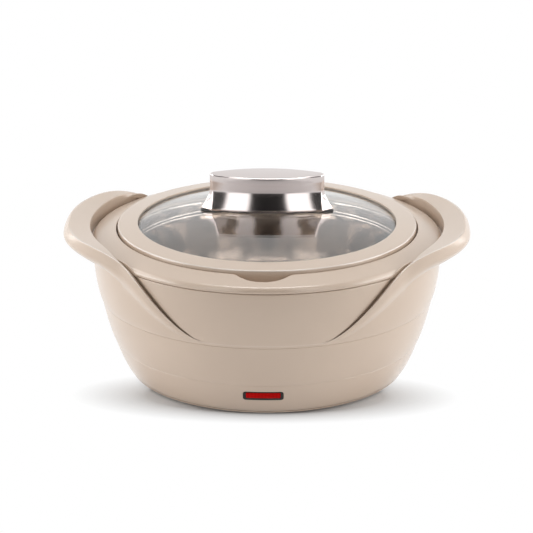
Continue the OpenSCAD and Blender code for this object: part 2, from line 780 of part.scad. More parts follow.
module inlet_socket() color(dark_colour) difference() {
    union() {
        intersection() {
            inlet_prism(inlet_w, inlet_h, inlet_round, inlet_rear_y, rim_r);
            union() {
                wall_skin(-wall - 3, 0.5, foot_z, 2 * inlet_z);
                translate([-inlet_w, 0, 0])
                    cube([2 * inlet_w, wall_r(inlet_z - inlet_h / 2) - wall, rim_z]);
            }
        }
        intersection() {
            inlet_prism(
                inlet_w + 2 * inlet_flange, inlet_h + 2 * inlet_flange, inlet_round, inlet_rear_y, rim_r
            );
            wall_skin(-wall - wall_fit - 2, -wall - wall_fit, foot_z, 2 * inlet_z);
        }
    }
    inlet_prism(socket_w, socket_h, socket_h / 2 - 0.01, inlet_face_r - socket_depth, rim_r);
    for (side = [-1, 1])
        translate([side * pin_pitch / 2, inlet_rear_y - 1, inlet_z])
            rotate([-90, 0, 0]) cylinder(r = pin_r, h = inlet_back);
}
pin_tail = 6;
module inlet_pins() color(brass_colour) for (side = [-1, 1])
    translate([side * pin_pitch / 2, inlet_rear_y - pin_tail, inlet_z]) rotate([-90, 0, 0])
        cylinder(r = pin_r, h = pin_tail + inlet_back - 2);

// Leads in the base, each a smooth tube between two terminals

wire_r = 1;
wire_sides = 8;
wire_rings = 12;
function bezier(p, t) =
    pow(1 - t, 3) * p[0] + 3 * t * pow(1 - t, 2) * p[1] + 3 * t * t * (1 - t) * p[2] + pow(t, 3) * p[3];
function unit(v) = v / norm(v);
module lead(p) {
    loops = [
        for (i = [0:wire_rings])
            let (
                t = i / wire_rings,
                c = bezier(p, t),
                d = unit(bezier(p, min(1, t + 0.01)) - bezier(p, max(0, t - 0.01))),
                u = unit(cross(abs(d[2]) > 0.9 ? [1, 0, 0] : [0, 0, 1], d)),
                v = cross(d, u)
            )
            [
                for (k = [0:wire_sides - 1])
                    let (a = 360 * k / wire_sides) c + wire_r * (cos(a) * u + sin(a) * v)
            ]
    ];
    stack_loft(loops);
}
pin_end_y = inlet_rear_y - pin_tail;
tab_end_z = mica_top - tab_l;
thermostat_tab_z = thermostat_bottom - thermostat_tab_l;
lead_lift = 5;
lead_low_z = foot_z + lead_lift;
lead_run = 30;
lead_bend = 12;
lamp_back = lamp_depth + lamp_r;
tab_end_x = tab_x + tab_w / 2 + 2 * seam;
lamp_lead_x = lamp_l / 3;
module wiring() color([0.55, 0.15, 0.12]) {
    fuse_head = fuse_x - fuse_l;
    fuse_tail = fuse_x + fuse_l;
    tab_wire_z = thermostat_tab_z - wire_r;
    lead([
        [-pin_pitch / 2, pin_end_y, inlet_z], [-pin_pitch / 2, pin_end_y - lead_run, inlet_z],
        [fuse_head - 2 * lead_bend, fuse_y, fuse_z], [fuse_head, fuse_y, fuse_z]
    ]);
    lead([
        [pin_pitch / 2, pin_end_y, inlet_z], [pin_pitch / 2, pin_end_y - lead_run - lead_bend, inlet_z],
        [tab_x, 0, lead_low_z], [tab_x, 0, tab_end_z]
    ]);
    lead([
        [fuse_tail, fuse_y, fuse_z], [fuse_tail + lead_bend, fuse_y, fuse_z],
        [-thermostat_r / 2, lead_bend, tab_wire_z - lead_lift], [-thermostat_r / 2, 0, tab_wire_z]
    ]);
    lead([
        [thermostat_r / 2, 0, tab_wire_z], [thermostat_r / 2, -2 * lead_bend, tab_wire_z - lead_lift],
        [-tab_x, 0, lead_low_z], [-tab_x, 0, tab_end_z]
    ]);
    for (side = [-1, 1])
        lead([
            indicator_point(side * lamp_lead_x, lamp_y, -lamp_back),
            indicator_point(side * lamp_lead_x, lamp_y, -lamp_back - lead_bend),
            [side * (tab_end_x + lead_run), 0, tab_end_z - lead_lift],
            [side * tab_end_x, 0, tab_end_z + lead_lift / 2]
        ]);
}

// Base cover, screws and feet

cover_rim_z = foot_z - seam;
cover_spigot_r = foot_r - wall - 2 * seam;
cover_spigot_t = 2;
cover_spigot_h = 2.6;
cover_spigot_z = foot_z + cover_spigot_h;
pad_recess = 0.9;
function cover_edge(t) = [
    mix(cover_flat_r, foot_r, sin(90 * t)),
    mix(cover_z, cover_rim_z, 1 - cos(90 * t))
];
cover_top_z = cover_z + cover_t;
rib_gap = 0.4;

module base_cover() color(shell_colour) difference() {
    union() {
        rotate_extrude()
            polygon(concat(
                [[0, cover_z]],
                [for (t = steps(0, 1, 6)) cover_edge(t)],
                [
                    [cover_spigot_r, cover_rim_z], [cover_spigot_r, cover_spigot_z],
                    [cover_spigot_r - cover_spigot_t, cover_spigot_z],
                    [cover_spigot_r - cover_spigot_t, cover_top_z], [0, cover_top_z]
                ]
            ));
        around(4, boss_angle)
            translate([screw_ring_r, 0, cover_top_z - 0.5])
                cylinder(r = boss_r, h = boss_foot_z - seam - cover_top_z + 0.5);
    }
    around(4, feet_angle)
        translate([foot_ring_r, 0, cover_z - 1]) cylinder(r = foot_pad_r + seam, h = pad_recess + 1);
    around(4, boss_angle) {
        translate([screw_ring_r, 0, cover_z - 1]) cylinder(r = screw_r + 0.2, h = cover_spigot_z);
        translate([screw_ring_r, 0, cover_z - 1]) cylinder(r = screw_head_r + 0.3, h = screw_head_h + 1);
        translate([screw_ring_r + boss_r, -boss_rib_t / 2 - rib_gap, cover_rim_z + seam])
            cube([foot_r - screw_ring_r, boss_rib_t + 2 * rib_gap, cover_spigot_z]);
    }
}
module base_screws() color(steel_colour) around(4, boss_angle) translate([screw_ring_r, 0, 0]) {
    translate([0, 0, cover_z]) cylinder(r = screw_head_r, h = screw_head_h);
    translate([0, 0, cover_z]) cylinder(r = screw_r - 0.02, h = boss_top_z - 1.5 * boss_cap - cover_z);
}
module rubber_feet() color(dark_colour) around(4, feet_angle)
    translate([foot_ring_r, 0, 0]) cylinder(r = foot_pad_r, h = cover_z + pad_recess);

// Lid: one dome shared by the glass, its seal, the ring's lip and the retaining ring

dome_edge_z = aperture_z - lip_t - gasket_t;
dome_c = dome_edge_z - sqrt(dome_radius * dome_radius - aperture_r * aperture_r);
function dome_z(r, off) = dome_c + sqrt(pow(dome_radius + off, 2) - r * r);
function dome_line(radii, off) = [for (r = radii) [r, dome_z(r, off)]];
gasket_r = glass_r + 1.2;
seal_radii = steps(aperture_r, glass_r, 4);
seal_in_r = aperture_r + (glass_r - aperture_r) / 4;
under_radii = concat([for (r = seal_radii) if (r > seal_in_r - 0.01) r], [gasket_r]);
glass_hole_r = 2 * knob_screw_r;
glass_radii = concat(without_last(steps(glass_hole_r, aperture_r, 12)), seal_radii);
lid_bottom_z = ledge_z + lid_rest;
retainer_off = -glass_t - gasket_t - retainer_t;
bead_w = 1.2;

module lid_glass() color([0.75, 0.8, 0.8, 0.4]) rotate_extrude()
    polygon(concat(dome_line(glass_radii, 0), reversed(dome_line(glass_radii, -glass_t))));
module glass_gasket() color(dark_colour) rotate_extrude()
    polygon(concat(
        dome_line(concat(seal_radii, [gasket_r]), gasket_t),
        reversed(dome_line(under_radii, -glass_t - gasket_t)),
        dome_line(without_last(under_radii), -glass_t),
        reversed(dome_line(seal_radii, 0))
    ));
module lid_retainer() color(steel_colour) rotate_extrude()
    polygon(concat(
        dome_line(under_radii, -glass_t - gasket_t), reversed(dome_line(under_radii, retainer_off))
    ));
ring_top_r = lid_r - ring_round;
ring_edge_z = aperture_z - ring_fall;
module lid_ring() color(shell_colour) rotate_extrude()
    polygon(concat(
        [[aperture_r, aperture_z - 0.3], [aperture_r + 0.4, aperture_z]],
        [
            for (a = steps(90, 0, 5))
                [ring_top_r, ring_edge_z - ring_round] + ring_round * [cos(a), sin(a)]
        ],
        [
            [lid_r, lid_bottom_z + 0.6], [lid_r - 0.6, lid_bottom_z], [gasket_r - bead_w, lid_bottom_z],
            [gasket_r - bead_w, dome_z(gasket_r, retainer_off) - 0.3],
            [gasket_r, dome_z(gasket_r, retainer_off)]
        ],
        reversed(dome_line(concat(seal_radii, [gasket_r]), gasket_t))
    ));

// Knob: lens-shaped loops with blunt ends, lofted from the dome up to a flat top

knob_gap = 0.15;
knob_foot_off = knob_gap + seat_t + 0.05;
knob_edge = 0.8;
end_bulge = 0.8;
knob_h = knob_top_z - dome_z(0, knob_foot_off);
band_from = 1 - knob_band / knob_h;

function knob_loop(a, b, w) = concat(
    [for (t = steps(-1, 0.5, 3)) [a + end_bulge * (1 - t * t), w * t]],
    [for (t = without_last(steps(1, -1, 14))) [a * t, w + (b - w) * (1 - t * t)]],
    [for (t = steps(1, -0.5, 3)) [-a - end_bulge * (1 - t * t), w * t]],
    [for (t = without_last(steps(-1, 1, 14))) [a * t, -w - (b - w) * (1 - t * t)]]
);
flare_start = 0.6;
function flare(v) = let (u = max(0, 1 - v / band_from)) u * (flare_start + (1 - flare_start) * u);
function knob_level(v, inset, top_drop) =
    let (
        f = flare(v),
        w = knob_end_w / 2 - inset / 2,
        foot = knob_loop(knob_foot_l / 2 - inset, knob_foot_d / 2 - inset, w),
        loop = knob_loop(
            mix(knob_top_l, knob_foot_l, f) / 2 - inset, mix(knob_top_d, knob_foot_d, f) / 2 - inset, w
        )
    )
    [
        for (i = [0:len(loop) - 1])
            let (foot_z = dome_z(norm(foot[i]), knob_foot_off))
            [loop[i][0], loop[i][1], mix(foot_z, knob_top_z - top_drop, v)]
    ];
knob_levels = concat(steps(0, band_from, 6), [1 - knob_edge / knob_h]);

// Down the inside from under the top to the foot, then up the outside
module knob_shell() color([0.85, 0.85, 0.86])
    stack_loft(concat(
        [knob_level(1, knob_t + knob_edge, knob_t)],
        [for (v = reversed(knob_levels)) knob_level(v, knob_t, knob_t)],
        [for (v = knob_levels) knob_level(v, 0, 0)],
        [knob_level(1, knob_edge, 0)]
    ));

seat_inset = 0.7;
seat_radii = steps(0, knob_foot_l / 2 + 2, 8);
module knob_seat() color(dark_colour) difference() {
    intersection() {
        translate([0, 0, aperture_z])
            linear_extrude(knob_top_z - aperture_z)
                polygon(knob_loop(
                    knob_foot_l / 2 - seat_inset, knob_foot_d / 2 - seat_inset, (knob_end_w - seat_inset) / 2
                ));
        rotate_extrude()
            polygon(concat(
                dome_line(seat_radii, knob_gap), reversed(dome_line(seat_radii, knob_gap + seat_t))
            ));
    }
    translate([0, 0, dome_z(0, -glass_t)]) cylinder(r = knob_screw_r + 0.3, h = 2 * glass_t);
}

core_r = 6.5;
core_l = 54;
core_rib_t = 5;
core_foot_z = dome_z(0, knob_foot_off) + 0.1;
core_top_z = knob_top_z - knob_t - 0.1;
module knob_core() color(dark_colour) difference() {
    union() {
        translate([0, 0, core_foot_z]) cylinder(r = core_r, h = core_top_z - core_foot_z);
        translate([-core_l / 2, -core_rib_t / 2, core_foot_z + 2])
            cube([core_l, core_rib_t, core_top_z - core_foot_z - 2]);
    }
    translate([0, 0, core_foot_z - 1]) cylinder(r = knob_screw_r, h = knob_screw_l + 1);
}

knob_screw_l = 15;
grommet_t = 1.2;
grommet_r = glass_hole_r + 4;
washer_t = 1;
glass_under_z = dome_z(grommet_r, -glass_t) - 0.05;
module screw_grommet() color(dark_colour) difference() {
    union() {
        translate([0, 0, glass_under_z - grommet_t]) cylinder(r = grommet_r, h = grommet_t);
        translate([0, 0, glass_under_z - grommet_t])
            cylinder(r = glass_hole_r - 0.1, h = grommet_t + glass_t - 0.2);
    }
    translate([0, 0, glass_under_z - glass_t]) cylinder(r = knob_screw_r + 0.2, h = 3 * glass_t);
}
washer_z = glass_under_z - grommet_t - washer_t;
module screw_washer() color(steel_colour) difference() {
    translate([0, 0, washer_z]) cylinder(r = grommet_r - 1, h = washer_t);
    translate([0, 0, washer_z - 1]) cylinder(r = knob_screw_r + 0.2, h = washer_t + 2);
}
screw_cap_h = 2.6;
module knob_screw() color(steel_colour) difference() {
    union() {
        translate([0, 0, washer_z - screw_cap_h]) cylinder(r = 2 * knob_screw_r, h = screw_cap_h);
        translate([0, 0, washer_z - 0.5])
            cylinder(r = knob_screw_r - 0.02, h = core_foot_z + knob_screw_l - 1 - washer_z);
    }
    for (turn = [0, 90])
        rotate(turn)
            translate([-knob_screw_r, -0.5, washer_z - screw_cap_h - 1]) cube([2 * knob_screw_r, 1, 2.4]);
}

outer_body();
rim_collar();
liner_bowl();
foam_insulation();
heater_plate();
heating_element();
mica_sheet();
clamp_plate();
clamp_studs();
clamp_nuts();
thermostat();
thermostat_screws();
thermal_fuse();
fuse_clip();
indicator_bezel();
indicator_lens();
neon_lamp();
inlet_socket();
inlet_pins();
wiring();
base_cover();
base_screws();
rubber_feet();
lid_ring();
glass_gasket();
lid_glass();
lid_retainer();
knob_seat();
knob_shell();
knob_core();
screw_grommet();
screw_washer();
knob_screw();
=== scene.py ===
"""Electric casserole: the visible pieces and their finishes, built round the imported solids.

Sizes in the classes are millimetres and angles are degrees, unless a class says otherwise. MM turns a size
into metres where a vertex is placed.
"""

import json
import logging
import math
from collections.abc import Callable, Iterable
from dataclasses import dataclass
from enum import Enum

import bmesh
import bpy
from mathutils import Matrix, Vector

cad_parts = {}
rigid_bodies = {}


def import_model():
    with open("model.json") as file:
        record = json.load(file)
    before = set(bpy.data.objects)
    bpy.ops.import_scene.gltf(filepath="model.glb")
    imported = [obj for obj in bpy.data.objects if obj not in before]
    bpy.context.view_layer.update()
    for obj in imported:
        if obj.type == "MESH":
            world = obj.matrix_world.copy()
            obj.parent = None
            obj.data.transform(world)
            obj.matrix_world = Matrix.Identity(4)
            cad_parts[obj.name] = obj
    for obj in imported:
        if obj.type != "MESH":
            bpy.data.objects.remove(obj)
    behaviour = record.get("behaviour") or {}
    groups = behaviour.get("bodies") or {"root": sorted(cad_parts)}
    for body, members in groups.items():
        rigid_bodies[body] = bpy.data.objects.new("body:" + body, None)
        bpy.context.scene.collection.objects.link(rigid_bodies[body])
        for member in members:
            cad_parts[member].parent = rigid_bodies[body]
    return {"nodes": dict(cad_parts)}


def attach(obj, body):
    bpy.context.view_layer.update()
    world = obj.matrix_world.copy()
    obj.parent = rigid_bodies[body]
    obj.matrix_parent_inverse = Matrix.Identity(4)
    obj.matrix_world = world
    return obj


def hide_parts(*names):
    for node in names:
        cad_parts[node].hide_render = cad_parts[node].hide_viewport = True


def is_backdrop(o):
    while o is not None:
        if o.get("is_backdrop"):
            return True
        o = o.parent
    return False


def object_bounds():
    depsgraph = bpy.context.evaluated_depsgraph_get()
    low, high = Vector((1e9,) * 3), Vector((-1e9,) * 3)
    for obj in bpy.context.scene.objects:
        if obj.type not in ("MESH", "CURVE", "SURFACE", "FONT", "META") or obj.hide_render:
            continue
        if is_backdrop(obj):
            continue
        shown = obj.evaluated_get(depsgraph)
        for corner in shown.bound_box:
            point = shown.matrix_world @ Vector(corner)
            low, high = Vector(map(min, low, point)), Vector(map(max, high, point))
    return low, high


for leftover in list(bpy.data.objects):
    bpy.data.objects.remove(leftover)

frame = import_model()
CAD_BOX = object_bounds()

LOG = logging.getLogger("casserole")
PHOTO_PX = 533.0
MM = 0.001
MERGE = 2e-6
TINY = 1e-9
ROUND_SHARE = 0.45
FRONT = 270.0
# Name of the vertex layer that marks edges for a painted highlight.
HIGHLIGHT_MARK = "painted_highlight"
WHITE = (1.0, 1.0, 1.0)

Point = tuple[float, float]
Span = tuple[float, float]
Trio = tuple[float, float, float]
Colour = tuple[float, float, float]
Profile = list[Point]
Ring = tuple[Profile, float, float]
Form = bmesh.types.BMesh
Piece = bpy.types.Object
Socket = bpy.types.NodeSocket


class Body(Enum):
    """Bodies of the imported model."""

    BASE = "base"
    LID = "lid"


class Slot(Enum):
    """Material slots of the record."""

    SHELL = "shell"
    STEEL = "steel"
    FOAM = "foam"
    ALUMINIUM = "aluminium"
    ELEMENT = "element"
    MICA = "mica"
    BRASS = "brass"
    DARK_PLASTIC = "dark_plastic"
    CERAMIC = "ceramic"
    RED_LENS = "red_lens"
    LAMP_GLASS = "lamp_glass"
    LEAD_SLEEVE = "lead_sleeve"
    RUBBER = "rubber"
    GLASS = "glass"
    CHROME = "chrome"


class Lay(Enum):
    """Direction of the fine lines on a metal piece."""

    ROUND = "round"
    ALONG_X = "along_x"


# Small sums that the shapes share


def mix(a: float, b: float, t: float) -> float:
    """Goes from a to b as t goes from 0 to 1."""
    return a + (b - a) * t


def ease(x: float) -> float:
    """Goes from 0 to 1 with a soft start and end."""
    t = min(1.0, max(0.0, x))
    return t * t * (3 - 2 * t)


def fade(x: float, start: float, end: float) -> float:
    """Goes softly from 0 at start to 1 at end."""
    return ease((x - start) / (end - start))


def soft_max(x: float, y: float, k: float) -> float:
    """Gives the larger of two values, rounded over where they meet."""
    return (x + y + math.hypot(x - y, k)) / 2


def sin_d(angle: float) -> float:
    """Sine of an angle in degrees."""
    return math.sin(math.radians(angle))


def cos_d(angle: float) -> float:
    """Cosine of an angle in degrees."""
    return math.cos(math.radians(angle))


def spread(start: float, end: float, count: int) -> list[float]:
    """Gives count + 1 even values from start to end."""
    return [mix(start, end, k / count) for k in range(count + 1)]


def between(a: Point, b: Point, t: float) -> Point:
    """Gives the point at a share of the way from a to b."""
    return mix(a[0], b[0], t), mix(a[1], b[1], t)


def rounded(before: Point, corner: Point, after: Point, size: float, count: int = 4) -> Profile:
    """Rounds one corner of a line of points.

    Args:
        before: the point before the corner.
        corner: the corner itself, which the round passes by.
        after: the point after the corner.
        size: how far from the corner the round starts and ends, cut short where the neighbours are close.
        count: number of steps on the round.

    Returns:
        The points that take the corner's place.
    """
    ends = []
    for other in (before, after):
        reach = max(math.dist(corner, other), TINY)
        ends.append(between(corner, other, min(size / reach, ROUND_SHARE)))
    start, end = ends
    return [between(between(start, corner, t), between(corner, end, t), t) for t in spread(0.0, 1.0, count)]


def rounded_box(width: float, height: float, radius: float, turn: int = 6, run: int = 20) -> Profile:
    """Outlines a rectangle with round corners, always with the same number of points.

    Args:
        width: full width.
        height: full height.
        radius: corner radius.
        turn: steps on each corner.
        run: steps on each long side.

    Returns:
        Points of the closed outline, anticlockwise.
    """
    half_w, half_h = width / 2 - radius, height / 2 - radius
    points = []
    for k, (sx, sy) in enumerate(((1, 1), (-1, 1), (-1, -1), (1, -1))):
        for angle in spread(90.0 * k, 90.0 * (k + 1), turn):
            points.append((sx * half_w + radius * cos_d(angle), sy * half_h + radius * sin_d(angle)))
        if k in (0, 2):
            for t in spread(0.0, 1.0, run)[1:-1]:
                points.append((mix(sx * half_w, -sx * half_w, t), sy * height / 2))
    return points


# Meshes


def settled(bm: Form) -> Form:
    """Closes seams and poles and turns every face outwards.

    Args:
        bm: the form, which is changed.

    Returns:
        The same form.
    """
    bmesh.ops.remove_doubles(bm, verts=bm.verts[:], dist=MERGE)
    bmesh.ops.recalc_face_normals(bm, faces=bm.faces[:])
    return bm


def spun(profile: Profile, steps: int, painted_highlight: Iterable[int] = ()) -> Form:
    """Spins a closed profile once round the upright axis.

    Args:
        profile: points of radius and height.
        steps: number of steps in the turn.
        painted_highlight: numbers of the points whose edge gets a painted highlight.

    Returns:
        The closed ring or bowl.
    """
    bm = bmesh.new()
    mark = bm.verts.layers.float.new(HIGHLIGHT_MARK)
    line = [bm.verts.new((r * MM, 0.0, z * MM)) for r, z in profile]
    # The marked points get a painted highlight in the plastic's material.
    for k in painted_highlight:
        line[k][mark] = 1.0
    edges = [bm.edges.new(pair) for pair in zip(line, line[1:] + line[:1])]
    bmesh.ops.spin(
        bm, geom=line + edges, cent=(0, 0, 0), axis=(0, 0, 1), dvec=(0, 0, 0), angle=math.tau,
        steps=steps, use_merge=True, use_duplicate=False,
    )
    return settled(bm)


def turned(section: Callable[[float], Profile], steps: int, painted_highlight: Iterable[int] = ()) -> Form:
    """Spins a plain ruler whose heights count the points of a section, and moves each vertex to its point.

    Args:
        section: gives the closed section at an angle, always with the same number of points.
        steps: number of steps in the turn.
        painted_highlight: numbers of the points whose edge gets a painted highlight.

    Returns:
        The closed ring, whose section changes with the angle.
    """
    ruler_r = 100.0
    bm = spun([(ruler_r, float(k)) for k in range(len(section(0.0)))], steps, painted_highlight)
    sections: dict[int, Profile] = {}
    for vert in bm.verts:
        theta = math.degrees(math.atan2(vert.co.y, vert.co.x)) % 360.0
        key = round(theta * steps / 360.0) % steps
        if key not in sections:
            sections[key] = section(360.0 * key / steps)
        r, z = sections[key][round(vert.co.z / MM)]
        vert.co = Vector((r * cos_d(theta), r * sin_d(theta), z)) * MM
    return settled(bm)


def looped(point: Callable[[int, int], Vector], around: int, levels: int) -> Form:
    """Wraps a grid into a sleeve of loops, with its open ends filled.

    Args:
        point: gives the place in millimetres of step i round loop j.
        around: steps round each loop.
        levels: number of loops.

    Returns:
        The closed form.
    """
    bm = bmesh.new()
    bmesh.ops.create_grid(bm, x_segments=around, y_segments=levels - 1, size=0.5)
    for vert in bm.verts:
        i = round((vert.co.x + 0.5) * around) % around
        j = round((vert.co.y + 0.5) * (levels - 1))
        vert.co = point(i, j) * MM
    bmesh.ops.remove_doubles(bm, verts=bm.verts[:], dist=MERGE)
    bmesh.ops.holes_fill(bm, edges=[e for e in bm.edges if e.is_boundary], sides=0)
    return settled(bm)


def join(forms: Iterable[Form]) -> Form:
    """Puts several forms into one, in which they stay apart.

    Args:
        forms: the forms, which are used up.

    Returns:
        The joined form.
    """
    whole = bmesh.new()
    for form in forms:
        part = bpy.data.meshes.new("part")
        form.to_mesh(part)
        form.free()
        whole.from_mesh(part)
        bpy.data.meshes.remove(part)
    return whole


def new_object(name: str, bm: Form) -> Piece:
    """Makes an object at the origin.

    Args:
        name: its name.
        bm: its form, which is used up.

    Returns:
        The object, in the scene.
    """
    mesh = bpy.data.meshes.new(name)
    bm.to_mesh(mesh)
    bm.free()
    made = bpy.data.objects.new(name, mesh)
    bpy.context.scene.collection.objects.link(made)
    return made


def cut(piece: Piece, cutter: Form) -> None:
    """Cuts openings in a piece for good.

    Args:
        piece: the piece to cut.
        cutter: closed forms that are taken away.
    """
    tool = new_object("cutter", cutter)
    boolean = piece.modifiers.new("openings", "BOOLEAN")
    boolean.operation = "DIFFERENCE"
    boolean.solver = "EXACT"
    boolean.object = tool
    graph = bpy.context.evaluated_depsgraph_get()
    done = bpy.data.meshes.new_from_object(piece.evaluated_get(graph))
    piece.modifiers.clear()
    spare = (piece.data, tool.data)
    piece.data = done
    done.name = piece.name
    bpy.data.objects.remove(tool)
    for mesh in spare:
        bpy.data.meshes.remove(mesh)


# Shader maths


def sums_for(operation: str) -> tuple[Callable, Callable]:
    """Makes a wire's method for an operator, and the reflected form for a number that stands first."""
    return (
        lambda wire, other: wire.recipe.sum(operation, wire, other),
        lambda wire, other: wire.recipe.sum(operation, other, wire),
    )


class Wire:
    """An output socket that takes part in Python sums by adding Math nodes."""

    def __init__(self, recipe: "Recipe", socket: Socket) -> None:
        """Keeps the socket and the recipe that it belongs to."""
        self.recipe = recipe
        self.socket = socket

    __add__, __radd__ = sums_for("ADD")
    __sub__, __rsub__ = sums_for("SUBTRACT")
    __mul__, __rmul__ = sums_for("MULTIPLY")
    __pow__, __rpow__ = sums_for("POWER")


class Recipe:
    """The nodes of one material or world."""

    def __init__(self, owner: bpy.types.ID) -> None:
        """Starts an empty tree.

        Args:
            owner: the material or world.
        """
        owner.use_nodes = True
        self.tree = owner.node_tree
        self.tree.nodes.clear()

    def node(self, kind: str, settings: dict | None = None, sockets: dict | None = None) -> bpy.types.Node:
        """Makes one node.

        Args:
            kind: the node's type.
            settings: its own settings, which are set first.
            sockets: values or links of its inputs, by name or number.

        Returns:
            The new node.
        """
        made = self.tree.nodes.new(kind)
        for key, value in (settings or {}).items():
            setattr(made, key, value)
        for key, value in (sockets or {}).items():
            self._feed(made.inputs[key], value)
        return made

    def _feed(self, socket: Socket, value: Wire | Socket | Colour | float) -> None:
        """Links a wire or socket to an input, or sets the input's value.

        Args:
            socket: the input.
            value: what it gets.
        """
        if isinstance(value, Wire):
            self.tree.links.new(value.socket, socket)
        elif isinstance(value, Socket):
            self.tree.links.new(value, socket)
        elif isinstance(value, tuple) and socket.type == "RGBA":
            socket.default_value = (*value, 1.0)
        else:
            socket.default_value = value

    def sum(self, operation: str, left: Wire | float, right: Wire | float) -> Wire:
        """Adds one Math node."""
        made = self.node("ShaderNodeMath", {"operation": operation}, {0: left, 1: right})
        return Wire(self, made.outputs[0])

    def place(self) -> Socket:
        """Gives the place on the piece, in metres."""
        return self.node("ShaderNodeTexCoord").outputs["Object"]

    def axes(self) -> tuple[Wire, Wire, Wire]:
        """Gives the place on the piece as three numbers."""
        parts = self.node("ShaderNodeSeparateXYZ", sockets={0: self.place()})
        return tuple(Wire(self, out) for out in parts.outputs)

    def vector(self, x: Wire | float, y: Wire | float, z: Wire | float) -> Socket:
        """Puts three numbers together as a vector."""
        return self.node("ShaderNodeCombineXYZ", sockets={0: x, 1: y, 2: z}).outputs[0]

    def noise(self, where: Socket, scale: float, detail: float = 2.0, rough: float = 0.5) -> Wire:
        """Gives a soft noise between 0 and 1."""
        sockets = {"Vector": where, "Scale": scale, "Detail": detail, "Roughness": rough}
        return Wire(self, self.node("ShaderNodeTexNoise", sockets=sockets).outputs[0])

    def cells(self, where: Socket, scale: float) -> Wire:
        """Gives the distance to the nearest of scattered points."""
        made = self.node("ShaderNodeTexVoronoi", sockets={"Vector": where, "Scale": scale})
        return Wire(self, made.outputs[0])

    def clamp(self, value: Wire, low: float, high: float) -> Wire:
        """Maps low..high to 0..1 and holds it there."""
        sockets = {"Value": value, "From Min": low, "From Max": high}
        return Wire(self, self.node("ShaderNodeMapRange", {"clamp": True}, sockets).outputs[0])

    def tint(self, factor: Wire, first: Colour | Socket, second: Colour | Socket) -> Socket:
        """Mixes two colours."""
        made = self.node("ShaderNodeMix", {"data_type": "RGBA"}, {0: factor, 6: first, 7: second})
        return made.outputs[2]

    def bump(self, height: Wire, distance: float) -> Socket:
        """Turns a height into a change of the surface's direction."""
        sockets = {"Strength": 1.0, "Distance": distance, "Height": height}
        return self.node("ShaderNodeBump", sockets=sockets).outputs[0]

    def principled(self, sockets: dict) -> Socket:
        """Makes the shader of a surface."""
        return self.node("ShaderNodeBsdfPrincipled", sockets=sockets).outputs[0]

    def matt(self, colour: Colour) -> Socket:
        """Makes a plain matt shader."""
        return self.node("ShaderNodeBsdfDiffuse", sockets={"Color": colour}).outputs[0]

    def blend(self, factor: Wire | Socket, first: Socket, second: Socket) -> Socket:
        """Mixes two shaders."""
        return self.node("ShaderNodeMixShader", sockets={0: factor, 1: first, 2: second}).outputs[0]

    def surface(self, shader: Socket) -> None:
        """Ends the material in a shader."""
        self.node("ShaderNodeOutputMaterial", sockets={"Surface": shader})


Pattern = tuple[Wire, Wire, Wire]


# Finishes


@dataclass(frozen=True)
class Finish:
    """What every finish has: a name and the record's slot that it belongs to."""

    name: str
    slot: Slot

    def shader(self, recipe: Recipe) -> Socket:
        """Adds this finish's nodes and gives their shader."""
        raise NotImplementedError

    def material(self) -> bpy.types.Material:
        """Gives this finish's material, made the first time that it is asked for.

        Returns:
            The material.
        """
        made = bpy.data.materials.get(self.name)
        if made is None:
            made = bpy.data.materials.new(self.name)
            recipe = Recipe(made)
            recipe.surface(self.shader(recipe))
        return made


@dataclass(frozen=True, kw_only=True)
class MouldedPlastic(Finish):
    """Moulded plastic with a faint flow pattern, a fine eggshell grain and a painted highlight along marked
    edges.
    """

    colour: Colour
    shade: Colour
    roughness: float = 0.33
    unevenness: float = 0.08
    flow_scale: float = 9.0
    flow_share: float = 0.65
    patch_scale: float = 45.0
    drift: Span = (0.3, 0.7)
    grain_scale: float = 1400.0
    grain_depth: float = 0.00004
    coat: float = 0.7
    coat_roughness: float = 0.2
    ior: float = 1.5
    # The painted highlight on marked edges: its least share, how far it lightens the colour towards white,
    # and how much smoother it makes them.
    highlight_least: float = 0.6
    highlight_lift: float = 0.32
    highlight_polish: float = 0.08

    def shader(self, recipe: Recipe) -> Socket:
        """Adds the flow pattern, the grain, the sheen and the painted highlight on marked edges.

        Args:
            recipe: the material's nodes.

        Returns:
            The shader.
        """
        place = recipe.place()
        flow = recipe.noise(place, self.flow_scale, detail=3.0)
        patch = recipe.noise(place, self.patch_scale, detail=2.0)
        grain = recipe.noise(place, self.grain_scale, detail=1.0)
        drift = recipe.clamp(self.flow_share * flow + (1 - self.flow_share) * patch, *self.drift)
        # Painted highlight: the marked edges get a lighter colour and less roughness, patchy with the noise.
        painted_highlight = Wire(recipe, recipe.node("ShaderNodeAttribute", {"attribute_name": HIGHLIGHT_MARK}).outputs["Fac"])
        highlight_share = recipe.clamp(painted_highlight * (self.highlight_least + patch), 0.0, 1.0)
        plain = recipe.tint(drift, self.shade, self.colour)
        highlight_colour = tuple(mix(c, 1.0, self.highlight_lift) for c in self.colour)
        rough = self.roughness + (drift - 0.5) * self.unevenness + (grain - 0.5) * self.unevenness
        return recipe.principled(
            {
                "Base Color": recipe.tint(highlight_share, plain, highlight_colour),
                "Roughness": rough - self.highlight_polish * highlight_share,
                "Normal": recipe.bump(grain, self.grain_depth),
                "IOR": self.ior,
                "Coat Weight": self.coat,
                "Coat Roughness": self.coat_roughness,
            }
        )


